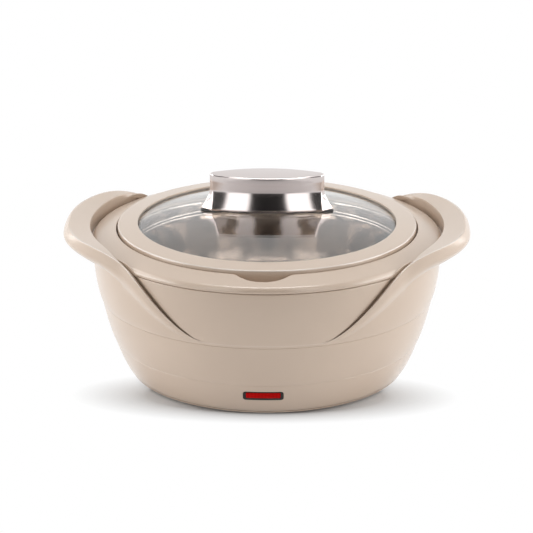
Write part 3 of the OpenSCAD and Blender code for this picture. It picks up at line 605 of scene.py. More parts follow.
@dataclass(frozen=True, kw_only=True)
class ClearGlass(Finish):
    """Clear polished glass with a trace of haze, which lets light through to what it covers."""

    colour: Colour
    ior: float = 1.5
    haze: float = 0.012
    haze_scale: float = 14.0

    def shader(self, recipe: Recipe) -> Socket:
        """Adds the glass, and lets shadow rays pass.

        Args:
            recipe: the material's nodes.

        Returns:
            The shader.
        """
        film = recipe.noise(recipe.place(), self.haze_scale, detail=3.0)
        sockets = {"Base Color": self.colour, "Roughness": film * self.haze, "IOR": self.ior}
        glass = recipe.principled({**sockets, "Transmission Weight": 1.0})
        clear = recipe.node("ShaderNodeBsdfTransparent", sockets={"Color": self.colour}).outputs[0]
        rays = recipe.node("ShaderNodeLightPath").outputs
        return recipe.blend(rays["Is Shadow Ray"], glass, clear)


@dataclass(frozen=True, kw_only=True)
class RedWindow(Finish):
    """Deep red clear plastic with fine flutes on its inner side, under a polished face."""

    colour: Colour
    deep: Colour
    flutes: float = 2400.0
    flute_share: float = 0.35
    cloud_scales: Span = (60.0, 260.0)
    depth: Span = (0.3, 1.0)
    roughness: float = 0.16
    unevenness: float = 0.08
    ior: float = 1.1

    def shader(self, recipe: Recipe) -> Socket:
        """Adds the flutes as a change of depth in the red.

        Args:
            recipe: the material's nodes.

        Returns:
            The shader.
        """
        x, _, z = recipe.axes()
        across, up = self.cloud_scales
        flute = recipe.clamp(recipe.sum("SINE", x * self.flutes, 0.0), -1.0, 1.0)
        cloud = recipe.noise(recipe.vector(x * across, 0.0, z * up), 1.0, detail=2.0)
        depth = recipe.clamp(self.flute_share * flute + cloud, *self.depth)
        return recipe.principled(
            {
                "Base Color": recipe.tint(depth, self.deep, self.colour),
                "Roughness": self.roughness + self.unevenness * cloud,
                "IOR": self.ior,
            }
        )


@dataclass(frozen=True, kw_only=True)
class Patterned(Finish):
    """A surface whose colour, gloss and fine relief follow one pattern, from a low colour to a high one."""

    low: Colour
    high: Colour
    roughness: float
    unevenness: float
    relief: float
    metallic: float = 0.0

    def pattern(self, recipe: Recipe) -> Pattern:
        """Gives what changes the colour, the roughness and the height."""
        raise NotImplementedError

    def shader(self, recipe: Recipe) -> Socket:
        """Puts the colours, the gloss and the relief on the pattern.

        Args:
            recipe: the material's nodes.

        Returns:
            The shader.
        """
        share, gloss, height = self.pattern(recipe)
        return recipe.principled(
            {
                "Base Color": recipe.tint(share, self.low, self.high),
                "Roughness": self.roughness + self.unevenness * gloss,
                "Normal": recipe.bump(height, self.relief),
                "Metallic": self.metallic,
            }
        )


@dataclass(frozen=True, kw_only=True)
class LinedMetal(Patterned):
    """Metal with fine lines from brushing, polishing or spinning, and a few softer smears."""

    lay: Lay
    metallic: float = 1.0
    line_scale: float = 2600.0
    turn_scale: float = 1.6
    length_scale: float = 18.0
    smear_scale: float = 30.0
    marks: Span = (0.25, 0.75)

    def pattern(self, recipe: Recipe) -> Pattern:
        """Gives lines that follow the lay.

        Args:
            recipe: the material's nodes.

        Returns:
            The pattern.
        """
        x, y, z = recipe.axes()
        fine = self.line_scale
        if self.lay is Lay.ROUND:
            radius = (x * x + y * y) ** 0.5
            angle = recipe.sum("ARCTAN2", y, x)
            where = recipe.vector(radius * fine, z * fine, angle * self.turn_scale)
        else:
            where = recipe.vector(x * self.length_scale, y * fine, z * fine)
        lines = recipe.noise(where, 1.0, detail=3.0, rough=0.6)
        smear = recipe.noise(recipe.place(), self.smear_scale, detail=3.0)
        mark = recipe.clamp(lines, *self.marks)
        return mark, mark + smear - 1.0, lines


@dataclass(frozen=True, kw_only=True)
class SheetMetal(Patterned):
    """Plain metal with soft stains from handling and heat, and fine scratches."""

    roughness: float = 0.35
    unevenness: float = 0.15
    relief: float = 0.00002
    metallic: float = 1.0
    stain_scale: float = 60.0
    stains: Span = (0.35, 0.7)
    scratch_scale: float = 900.0

    def pattern(self, recipe: Recipe) -> Pattern:
        """Gives the stains and the scratches.

        Args:
            recipe: the material's nodes.

        Returns:
            The pattern.
        """
        place = recipe.place()
        clean = recipe.clamp(recipe.noise(place, self.stain_scale, detail=4.0), *self.stains)
        scratch = recipe.noise(place, self.scratch_scale, detail=2.0)
        return clean, clean * scratch, scratch


@dataclass(frozen=True, kw_only=True)
class Rubber(Patterned):
    """Matt rubber with a dusty bloom and fine pits."""

    roughness: float = 0.62
    unevenness: float = 0.2
    relief: float = 0.00005
    dust_scale: float = 220.0
    dusts: Span = (0.4, 0.75)
    pit_scale: float = 2200.0

    def pattern(self, recipe: Recipe) -> Pattern:
        """Gives the bloom and the pits.

        Args:
            recipe: the material's nodes.

        Returns:
            The pattern.
        """
        place = recipe.place()
        dust = recipe.clamp(recipe.noise(place, self.dust_scale, detail=4.0), *self.dusts)
        return dust, dust, recipe.noise(place, self.pit_scale, detail=1.0)


@dataclass(frozen=True, kw_only=True)
class RigidFoam(Patterned):
    """Rigid foam with a skin of small open cells."""

    roughness: float = 0.85
    unevenness: float = 0.1
    relief: float = 0.0004
    cell_scale: float = 420.0
    cells: Span = (0.0, 0.7)

    def pattern(self, recipe: Recipe) -> Pattern:
        """Gives the cells as colour and depth."""
        cell = recipe.clamp(recipe.cells(recipe.place(), self.cell_scale), *self.cells)
        return cell, cell, 1.0 - cell


@dataclass(frozen=True, kw_only=True)
class PressedMica(Patterned):
    """Pressed flakes of mica, glinting a little."""

    roughness: float = 0.3
    unevenness: float = 0.4
    relief: float = 0.0001
    flake_scale: float = 260.0
    flakes: Span = (0.1, 0.6)
    glint_scale: float = 300.0

    def pattern(self, recipe: Recipe) -> Pattern:
        """Gives the flakes and their glints.

        Args:
            recipe: the material's nodes.

        Returns:
            The pattern.
        """
        place = recipe.place()
        flake = recipe.clamp(recipe.cells(place, self.flake_scale), *self.flakes)
        return flake, recipe.noise(place, self.glint_scale, detail=2.0), flake


@dataclass(frozen=True, kw_only=True)
class WovenSleeve(Patterned):
    """Woven sleeve over a lead, with threads that cross."""

    roughness: float = 0.75
    unevenness: float = 0.15
    relief: float = 0.0001
    pitch: float = 5200.0
    weave: Span = (-0.6, 0.6)

    def pattern(self, recipe: Recipe) -> Pattern:
        """Gives two crossing sets of threads.

        Args:
            recipe: the material's nodes.

        Returns:
            The pattern.
        """
        x, y, z = recipe.axes()
        over = recipe.sum("SINE", (x + y + z) * self.pitch, 0.0)
        under = recipe.sum("SINE", (x - y - z) * self.pitch, 0.0)
        weave = recipe.clamp(over * under, *self.weave)
        return weave, weave, weave


BEIGE = MouldedPlastic(
    "beige_moulding", Slot.SHELL, colour=(0.572, 0.452, 0.356), shade=(0.545, 0.428, 0.335)
)
DARK_MOULDING = MouldedPlastic(
    "dark_moulding", Slot.DARK_PLASTIC, colour=(0.022, 0.019, 0.017), shade=(0.015, 0.013, 0.012),
    roughness=0.42, coat=0.0, ior=1.32,
)
CERAMIC = MouldedPlastic(
    "fuse_ceramic", Slot.CERAMIC, colour=(0.74, 0.71, 0.62), shade=(0.66, 0.63, 0.55),
    roughness=0.5, coat=0.0,
)
LID_GLASS = ClearGlass("lid_pane_glass", Slot.GLASS, colour=(0.97, 0.965, 0.955))
LAMP_GLASS = ClearGlass("lamp_bulb_glass", Slot.LAMP_GLASS, colour=(0.92, 0.62, 0.42))
LAMP_WINDOW = RedWindow(
    "lamp_window_red", Slot.RED_LENS, colour=(0.52, 0.004, 0.004), deep=(0.40, 0.003, 0.003)
)
BOWL_STEEL = LinedMetal(
    "bowl_steel", Slot.STEEL, low=(0.46, 0.412, 0.376), high=(0.56, 0.505, 0.462), lay=Lay.ROUND,
    roughness=0.075, unevenness=0.05, relief=0.000008,
)
KNOB_METAL = LinedMetal(
    "knob_metal", Slot.CHROME, low=(0.63, 0.57, 0.555), high=(0.665, 0.605, 0.59), lay=Lay.ALONG_X,
    roughness=0.13, unevenness=0.04, relief=0.000003,
)
ALUMINIUM = SheetMetal("spreader_aluminium", Slot.ALUMINIUM, low=(0.62, 0.62, 0.63), high=(0.78, 0.79, 0.80))
BRASS = SheetMetal(
    "plain_brass", Slot.BRASS, low=(0.60, 0.42, 0.18), high=(0.78, 0.58, 0.27), roughness=0.28
)
ELEMENT = SheetMetal("element_metal", Slot.ELEMENT, low=(0.26, 0.22, 0.22), high=(0.46, 0.41, 0.37))
SEAL_RUBBER = Rubber("seal_rubber", Slot.RUBBER, low=(0.022, 0.021, 0.021), high=(0.050, 0.048, 0.046))
PALE_SEAL = Rubber("pale_seal", Slot.RUBBER, low=(0.30, 0.26, 0.22), high=(0.36, 0.32, 0.28))
FOAM = RigidFoam("ring_foam", Slot.FOAM, low=(0.86, 0.80, 0.60), high=(0.66, 0.58, 0.40))
MICA = PressedMica("mica_flakes", Slot.MICA, low=(0.82, 0.72, 0.52), high=(0.70, 0.58, 0.36))
SLEEVE = WovenSleeve("lead_sleeve_weave", Slot.LEAD_SLEEVE, low=(0.28, 0.04, 0.03), high=(0.40, 0.08, 0.06))

KEPT_NODES: dict[Finish, tuple[str, ...]] = {
    BEIGE: ("base_cover",),
    DARK_MOULDING: ("thermostat", "inlet_socket", "knob_core"),
    CERAMIC: ("thermal_fuse",),
    LAMP_GLASS: ("neon_lamp",),
    BOWL_STEEL: (
        "clamp_plate", "clamp_studs", "thermostat_screws", "fuse_clip", "base_screws", "lid_retainer",
        "screw_washer", "knob_screw",
    ),
    ALUMINIUM: ("heater_plate",),
    BRASS: ("clamp_nuts", "inlet_pins"),
    ELEMENT: ("heating_element",),
    SEAL_RUBBER: ("rubber_feet", "knob_seat", "screw_grommet"),
    PALE_SEAL: ("glass_gasket",),
    FOAM: ("foam_insulation",),
    MICA: ("mica_sheet",),
    SLEEVE: ("wiring",),
}


def dress(piece: Piece, finish: Finish, body: Body, replaced: str, sharp: float = 38.0) -> None:
    """Shades a new piece, gives it its finish and ties it to the frame.

    Args:
        piece: the new piece.
        finish: its finish.
        body: the body that it rides on.
        replaced: the CAD node that it stands for.
        sharp: angle past which an edge stays crisp.
    """
    piece.data.shade_smooth()
    piece.data.set_sharp_from_angle(angle=math.radians(sharp))
    piece.data.materials.clear()
    piece.data.materials.append(finish.material())
    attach(piece, body.value)
    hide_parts(replaced)
    LOG.info("%s: %d faces, %s", piece.name, len(piece.data.polygons), finish.name)


# The moulded shell


@dataclass
class Shell:
    """One moulding: a round wall in three soft bands, with two petal handles that run down it as tongues.

    The angle a goes from 0 in the middle of a handle to 90 at the front or back. A span named fade gives the
    angles between which something changes.
    """

    rim_r: float = 133.0
    rim_z: float = 104.8
    rim_round: float = 0.7
    foot_r: float = 105.5
    foot_z: float = 3.7
    foot_h: float = 0.5
    foot_edge: tuple[Point, ...] = ((-0.8, 0.0), (-0.2, 0.08))
    lower_r: float = 117.0
    lower_z: float = 28.0
    upper_r: float = 126.8
    upper_z: float = 61.0
    bulges: Trio = (0.9, 0.8, 1.6)
    tuck: float = 0.7
    wall: float = 2.6
    middles: Trio = (82.0, 44.0, 15.0)
    crease: float = 0.2
    score: float = 0.28
    reach: float = 155.0
    lip: float = 4.0
    lip_at: float = 0.66
    lip_fade: Span = (6.0, 30.0)
    half_w: float = 107.0
    square: float = 2.5
    top_z: float = 119.6
    fall: float = 2.0
    top_round: float = 0.7
    gap: float = 2.0
    gap_fade: Span = (36.0, 46.0)
    root_at: float = 98.0
    root_start: float = 28.0
    crest_start: float = 22.0
    crest_delay: float = 1.45
    crest_blend: float = 1.5
    crest_rounds: Span = (2.4, 1.5)
    round_fade: Span = (4.0, 20.0)
    # Rows just past the crest that get a painted highlight, and the angles over which it fades in from the
    # handles' ends.
    highlight_rows: tuple[int, int] = (2, 6)
    highlight_fade: Span = (6.0, 22.0)
    tongue_proud: float = 3.6
    proud_start: float = 48.0
    tongue_flat: float = 0.6
    tongue_drop: float = 0.2
    tongue_fade: Span = (30.0, 44.0)
    tongue_end: float = 71.0
    tip_lift: float = 0.6
    tip_h: float = 1.6
    tip_step: float = 0.5
    tip_fade: Span = (60.0, 71.0)
    groove_depth: float = 3.2
    slot_deep: float = 1.3
    slot_least: float = 0.3
    slot_rises: Span = (0.2, 1.2)
    slot_edge: float = 0.15
    slot_fade: Span = (32.0, 42.0)
    slot_end_fade: Span = (64.0, 71.0)
    steps: int = 360
    band_steps: int = 9
    root_steps: int = 12
    face_steps: int = 30
    panel_steps: int = 12

    def wall_r(self, z: float) -> float:
        """Gives the outer radius of the plain wall.

        Args:
            z: height.

        Returns:
            The radius.
        """
        marks = (
            (self.foot_z, self.foot_r),
            (self.lower_z, self.lower_r),
            (self.upper_z, self.upper_r),
            (self.rim_z, self.rim_r),
        )
        if z <= self.foot_z:
            return self.foot_r
        for (z0, r0), (z1, r1), bulge in zip(marks, marks[1:], self.bulges):
            if z <= z1:
                t = (z - z0) / (z1 - z0)
                return mix(r0, r1, t) + 4 * bulge * t**self.tuck * (1 - t)
        return self.rim_r

    def tip_z(self) -> float:
        """Gives the height of the tongue's tip."""
        return self.upper_z + self.tip_lift

    def crest_z(self, a: float) -> float:
        """Gives the height of the handle's crest."""
        t = max(0.0, (a - self.crest_start) / (self.tongue_end - self.crest_start))
        return mix(self.top_z, self.tip_z() + self.tip_h, ease(t**self.crest_delay))

    def root_z(self, a: float) -> float:
        """Gives the height where the handle leaves the wall."""
        return mix(self.root_at, self.tip_z(), fade(a, self.root_start, self.tongue_end))

    def crest_off(self, a: float) -> float:
        """Gives how far the crest stands off the wall.

        Args:
            a: angle from the handles' axis.

        Returns:
            The distance.
        """
        n = self.square
        along = (cos_d(a) / (self.reach - self.lip)) ** n
        across = (sin_d(a) / self.half_w) ** n
        plan_r = (along + across) ** (-1 / n)
        proud = self.tongue_proud * (1 - fade(a, self.proud_start, self.tongue_end))
        return soft_max(plan_r - self.wall_r(self.crest_z(a)), proud, self.crest_blend)

    def face_point(self, a: float, s: float) -> Point:
        """Gives a point of the handle's outer face.

        Args:
            a: angle from the handles' axis.
            s: place from the root at 0 to the crest at 1.

        Returns:
            Its radius and height.
        """
        crest = self.crest_off(a)
        lip = crest + self.lip * (1 - fade(a, *self.lip_fade))
        if s < self.lip_at:
            off = lip * sin_d(90 * s / self.lip_at)
        else:
            off = mix(lip, crest, 1 - cos_d(90 * (s - self.lip_at) / (1 - self.lip_at)))
        z = mix(self.root_z(a), self.crest_z(a), s)
        return self.wall_r(z) + off, z

    def inner_gap(self, a: float) -> float:
        """Gives the gap between the collar and the inner side of the handle."""
        return self.gap * (1 - fade(a, *self.gap_fade))

    def panel_point(self, a: float, z: float) -> Point:
        """Gives a point of the wall behind the handle."""
        return self.wall_r(z) + self.inner_gap(a), z

    def top_edge(self, a: float) -> Point:
        """Gives the inner edge of the handle's top.

        Args:
            a: angle from the handles' axis.

        Returns:
            Its radius and height.
        """
        on_tongue = fade(a, *self.tongue_fade)
        drop = mix(self.fall, self.tongue_drop, on_tongue)
        z = self.crest_z(a) - mix(drop, -self.tip_step, fade(a, *self.tip_fade))
        crest_r = self.wall_r(self.crest_z(a)) + self.crest_off(a)
        return mix(crest_r, self.panel_point(a, z)[0], 1 - self.tongue_flat * on_tongue), z

    def slot(self, a: float) -> Profile:
        """Gives the narrow slot that undercuts the wall behind the tongue.

        Args:
            a: angle from the handles' axis.

        Returns:
            Points from its foot to its upper edge.
        """
        foot_z = self.top_edge(a)[1] - mix(self.groove_depth, -self.tip_step, fade(a, *self.tip_fade))
        size = fade(a, *self.slot_fade) * (1 - fade(a, *self.slot_end_fade))
        edge_z = mix(foot_z + self.slot_least, self.crest_z(a) + mix(*self.slot_rises, size), size)
        back = [self.panel_point(a, z) for z in spread(foot_z, edge_z - self.slot_edge, 3)]
        return [(r - self.slot_deep * size, z) for r, z in back] + [self.panel_point(a, edge_z)]

    def plain_wall(self) -> Profile:
        """Gives the wall from the foot to the upper crease.

        Returns:
            Points of radius and height.
        """
        start, crease = self.foot_z + self.foot_h, self.crease
        heights = [start]
        for low, high in ((start, self.lower_z), (self.lower_z, self.upper_z)):
            heights += spread(low, high - 4 * crease, self.band_steps)[1:] + [high - crease, high]
            if high == self.lower_z:
                heights += [high + crease, high + 4 * crease]
        foot = [(self.foot_r + dr, self.foot_z + dz) for dr, dz in self.foot_edge]
        scored = {self.lower_z: self.score / 2, self.upper_z: self.score}
        return foot + [(self.wall_r(z) - scored.get(z, 0.0), z) for z in heights]

    def section(self, theta: float) -> Profile:
        """Gives the shell's closed section.

        Args:
            theta: angle round the axis.

        Returns:
            Points of radius and height, always as many.
        """
        a = theta % 180.0
        if a > 90.0:
            a = 180.0 - a
        points = self.plain_wall()
        for t in spread(0.0, 1.0, self.root_steps)[:-1]:
            z = mix(self.upper_z + self.crease, self.root_z(a), t * t)
            points.append((self.wall_r(z), z))
        face = [self.face_point(a, s) for s in spread(0.0, 1.0, self.face_steps)]
        crest, top, slot = face[-1], self.top_edge(a), self.slot(a)
        points += face[:-2]
        points += rounded(face[-3], crest, top, mix(*self.crest_rounds, fade(a, *self.round_fade)), 6)
        points += [between(crest, top, t) for t in (0.4, 0.6)]
        points += rounded(crest, top, slot[0], self.top_round, 5)
        points += slot
        panel = [self.panel_point(a, z) for z in spread(slot[-1][1], self.rim_z, self.panel_steps)[1:]]
        inside = (self.rim_r - self.wall, self.rim_z)
        points += panel[:-1] + rounded(panel[-2], panel[-1], inside, self.rim_round, 4)
        for pair in zip((self.rim_z, self.upper_z, self.lower_z), self.middles):
            points += [(self.wall_r(z) - self.wall, z) for z in pair]
        points.append((self.foot_r - self.wall, self.foot_z))
        return points

    def at_wall(self, x: float, z: float, off: float, side: float) -> Vector:
        """Gives a point on or off the wall.

        Args:
            x: place across, in the straight.
            z: height.
            off: distance out from the wall, square to it.
            side: -1 at the front, 1 at the back.

        Returns:
            The point in millimetres.
        """
        lean = math.atan2(self.wall_r(z + 1.0) - self.wall_r(z - 1.0), 2.0)
        r = self.wall_r(z) + off * math.cos(lean)
        return Vector((x, side * math.sqrt(r * r - x * x), z - off * math.sin(lean)))

    def build(self, openings: Form) -> None:
        """Builds the shell, with a painted highlight along the crest that is left off the handles' ends, and
        dresses it.

        Args:
            openings: closed forms to cut from it.
        """
        crest = len(self.plain_wall()) + self.root_steps + self.face_steps - 1
        # The rows past the crest get a painted highlight, faded out towards the handles' ends.
        bm = turned(self.section, self.steps, range(*(crest + row for row in self.highlight_rows)))
        mark = bm.verts.layers.float[HIGHLIGHT_MARK]
        for vert in bm.verts:
            a = math.degrees(math.atan2(abs(vert.co.y), abs(vert.co.x)))
            vert[mark] *= fade(a, *self.highlight_fade)
        piece = new_object("shell_moulding", bm)
        cut(piece, openings)
        dress(piece, BEIGE, Body.BASE, "outer_body", sharp=32.0)


# The collar on the shell's rim


@dataclass
class Collar:
    """Sloping ring on the rim, with a rolled outer edge, a ledge for the lid and a finger scoop in front."""

    shell: Shell
    in_r: float = 115.2
    roll_r: float = 3.8
    edge_h: float = 1.6
    foot_edge: tuple[Point, ...] = ((-1.4, 0.0), (-0.9, 0.35), (-0.25, 0.5), (0.0, 0.8))
    slope: float = 16.0
    ledge_z: float = 106.4
    ledge_w: float = 8.4
    ledge_t: float = 2.0
    ledge_edge: float = 0.4
    floor_round: float = 0.6
    floor_clear: float = 1.0
    thick: float = 2.2
    skirt: float = 3.3
    fit: float = 0.45
    scoop_w: float = 41.0
    scoop_reach: float = 8.8
    scoop_round: float = 9.0
    breaks: Span = (1.0, 1.7)
    steps: int = 432

    def inner_edge(self, phi: float) -> float:
        """Gives the radius of the inner edge, which the scoop widens.

        Args:
            phi: angle from the front.

        Returns:
            The radius.
        """
        half = self.scoop_w / 2
        out = self.in_r + self.scoop_reach
        sag = out - math.sqrt(self.in_r**2 - half**2)
        scoop_r = (half**2 + sag**2) / (2 * sag)
        scoop_y = out - scoop_r
        far, near = self.in_r + self.scoop_round, scoop_r + self.scoop_round
        round_y = (far**2 - near**2 + scoop_y**2) / (2 * scoop_y)
        round_at = math.degrees(math.acos(round_y / far))
        if phi >= round_at:
            return self.in_r
        blend_y = scoop_y + (round_y - scoop_y) * scoop_r / near
        blend_x = math.sqrt(far**2 - round_y**2) * scoop_r / near
        if phi <= math.degrees(math.atan2(blend_x, blend_y)):
            return scoop_y * cos_d(phi) + math.sqrt(scoop_r**2 - (scoop_y * sin_d(phi)) ** 2)
        turn = phi - round_at
        return far * cos_d(turn) - math.sqrt(self.scoop_round**2 - (far * sin_d(turn)) ** 2)

    def section(self, theta: float) -> Profile:
        """Gives the collar's closed section.

        Args:
            theta: angle round the axis.

        Returns:
            Points of radius and height, always as many.
        """
        edge = self.inner_edge(abs((theta - FRONT + 180.0) % 360.0 - 180.0))
        rim_r, rim_z = self.shell.rim_r, self.shell.rim_z
        centre_r, centre_z = rim_r - self.roll_r, rim_z + self.edge_h
        turn = spread(0.0, 90.0 - self.slope, 10)
        roll = [(centre_r + self.roll_r * cos_d(t), centre_z + self.roll_r * sin_d(t)) for t in turn]
        rise = math.tan(math.radians(self.slope))
        last_r, last_z = roll[-1]
        top = [(r, last_z + (last_r - r) * rise) for r in spread(last_r, edge, 10)[1:]]
        floor = (edge, self.ledge_z)
        ledge_r, under_ledge = self.in_r - self.ledge_w, self.ledge_z - self.ledge_t
        low_z, under_z = rim_z - self.skirt, top[-1][1] - self.thick
        spigot_r = rim_r - self.shell.wall - self.fit
        points = [(rim_r + dr, rim_z + dz) for dr, dz in self.foot_edge]
        points += roll + top[:-1]
        break_size = mix(*self.breaks, (edge - self.in_r) / self.scoop_reach)
        points += rounded(top[-2], top[-1], floor, break_size, 5)
        points += [between(top[-1], floor, t) for t in (0.4, 0.7)]
        points += rounded(top[-1], floor, (ledge_r, self.ledge_z), self.floor_round, 3)
        flat = spread(edge - self.floor_clear, ledge_r + self.ledge_edge, 4)
        points += [(r, self.ledge_z) for r in flat]
        points += [(ledge_r, self.ledge_z - self.ledge_edge), (ledge_r, under_ledge)]
        points += [(edge, under_ledge), (edge, low_z), (edge + self.thick, low_z)]
        points += [(edge + self.thick, under_z), (spigot_r - self.thick, last_z - self.thick)]
        points += [(spigot_r - self.thick, low_z), (spigot_r, low_z), (spigot_r, rim_z)]
        return points

    def build(self) -> None:
        """Builds and dresses the collar."""
        piece = new_object("collar_moulding", turned(self.section, self.steps))
        dress(piece, BEIGE, Body.BASE, "rim_collar", sharp=40.0)


# The steel bowl


@dataclass
class Bowl:
    """Pressed steel bowl with a rounded floor, a step below its rim and a flat flange."""

    floor_z: float = 30.0
    step_r: float = 101.7
    step_z: float = 95.5
    step_w: float = 2.2
    step_rise: float = 0.6
    step_fold: float = 0.9
    round_r: float = 22.0
    lean: float = 7.0
    rim_r: float = 105.2
    rim_z: float = 104.4
    rim_fold: float = 1.0
    flange_r: float = 114.9
    sheet: float = 0.8
    steps: int = 256

    def side(self, grow: float) -> Profile:
        """Gives one side of the sheet from the middle of the floor to the flange.

        Args:
            grow: distance outside the inner side.

        Returns:
            Points of radius and height.
        """
        wall_h = self.step_z - self.floor_z - self.round_r * (1 - sin_d(self.lean))
        wall_run = wall_h * math.tan(math.radians(self.lean))
        centre_r = self.step_r - self.round_r * cos_d(self.lean) - wall_run
        points = [(r, self.floor_z - grow) for r in spread(0.0, centre_r, 12)[:-1]]
        reach = self.round_r + grow
        for t in spread(-90.0, -self.lean, 12):
            points.append((centre_r + reach * cos_d(t), self.floor_z + self.round_r + reach * sin_d(t)))
        low = points[-1]
        step = (self.step_r + grow, self.step_z - grow)
        shelf = (self.step_r + self.step_w + grow, self.step_z + self.step_rise - grow)
        rim = (self.rim_r + grow, self.rim_z - grow)
        flange = (self.flange_r, self.rim_z - grow)
        points += [between(low, step, t) for t in spread(0.0, 1.0, 8)[1:-1]]
        points += rounded(low, step, shelf, self.step_fold)
        points += rounded(step, shelf, rim, self.step_fold)
        points += [between(shelf, rim, t) for t in (0.4, 0.6)]
        points += rounded(shelf, rim, flange, self.rim_fold)
        points.append(flange)
        return points

    def build(self) -> None:
        """Builds and dresses the bowl."""
        profile = self.side(0.0) + self.side(self.sheet)[::-1]
        piece = new_object("bowl", spun(profile, self.steps))
        dress(piece, BOWL_STEEL, Body.BASE, "liner_bowl", sharp=50.0)


# The lid


@dataclass
class Lid:
    """Moulded ring that holds a domed pane of glass."""

    ring_r: float = 114.1
    opening_r: float = 98.7
    opening_z: float = 118.6
    ring_fall: float = 1.6
    inner_round: float = 0.55
    outer_round: float = 1.3
    foot_round: float = 0.7
    # Rows of the ring's outer top edge that get a painted highlight.
    highlight_rows: tuple[int, int] = (11, 14)
    bottom_z: float = 106.7
    lip_t: float = 1.25
    seal_t: float = 0.8
    seal_r: float = 109.9
    seat_step: float = 0.3
    glass_r: float = 108.7
    glass_t: float = 4.0
    glass_edge: float = 0.5
    hole_r: float = 4.8
    clamp_t: float = 5.6
    dome_r: float = 379.995
    steps: int = 256

    def dome_z(self, r: float, off: float) -> float:
        """Gives the height of the dome.

        Args:
            r: radius from the axis.
            off: distance above the dome's outer face.

        Returns:
            The height.
        """
        edge_z = self.opening_z - self.lip_t - self.seal_t
        centre_z = edge_z - math.sqrt(self.dome_r**2 - self.opening_r**2)
        return centre_z + math.sqrt((self.dome_r + off) ** 2 - r * r)

    def ring_profile(self) -> Profile:
        """Gives the section of the moulded ring.

        Returns:
            Points of radius and height.
        """
        inner = (self.opening_r, self.opening_z)
        under = (self.opening_r, self.dome_z(self.opening_r, self.seal_t))
        outer = (self.ring_r, self.opening_z - self.ring_fall)
        foot = (self.ring_r, self.bottom_z)
        foot_in = (self.glass_r, self.bottom_z)
        seat_z = self.dome_z(self.seal_r, -self.clamp_t)
        points = rounded(under, inner, outer, self.inner_round, 5)
        points += [between(inner, outer, t) for t in (0.25, 0.5, 0.75)]
        points += rounded(inner, outer, foot, self.outer_round, 6)
        points += rounded(outer, foot, foot_in, self.foot_round, 3)
        points += [foot_in, (self.glass_r, seat_z - self.seat_step), (self.seal_r, seat_z)]
        points += [(r, self.dome_z(r, self.seal_t)) for r in spread(self.seal_r, self.opening_r, 6)]
        return points

    def pane_profile(self) -> Profile:
        """Gives the section of the glass, from its hole to its ground edge.

        Returns:
            Points of radius and height.
        """
        radii = spread(self.hole_r, self.glass_r - self.glass_edge, 30)
        top = [(r, self.dome_z(r, 0.0)) for r in radii]
        under = [(r, self.dome_z(r, -self.glass_t)) for r in radii]
        offs = (-self.glass_edge, self.glass_edge - self.glass_t)
        edge = [(self.glass_r, self.dome_z(self.glass_r, off)) for off in offs]
        return top + edge + under[::-1]

    def build(self) -> None:
        """Builds and dresses the ring and the glass."""
        # The ring's outer top edge gets a painted highlight.
        ring = new_object("lid_hoop", spun(self.ring_profile(), self.steps, range(*self.highlight_rows)))
        dress(ring, BEIGE, Body.LID, "lid_ring", sharp=40.0)
        pane = new_object("lid_pane", spun(self.pane_profile(), self.steps))
        dress(pane, LID_GLASS, Body.LID, "lid_glass", sharp=30.0)


# The knob


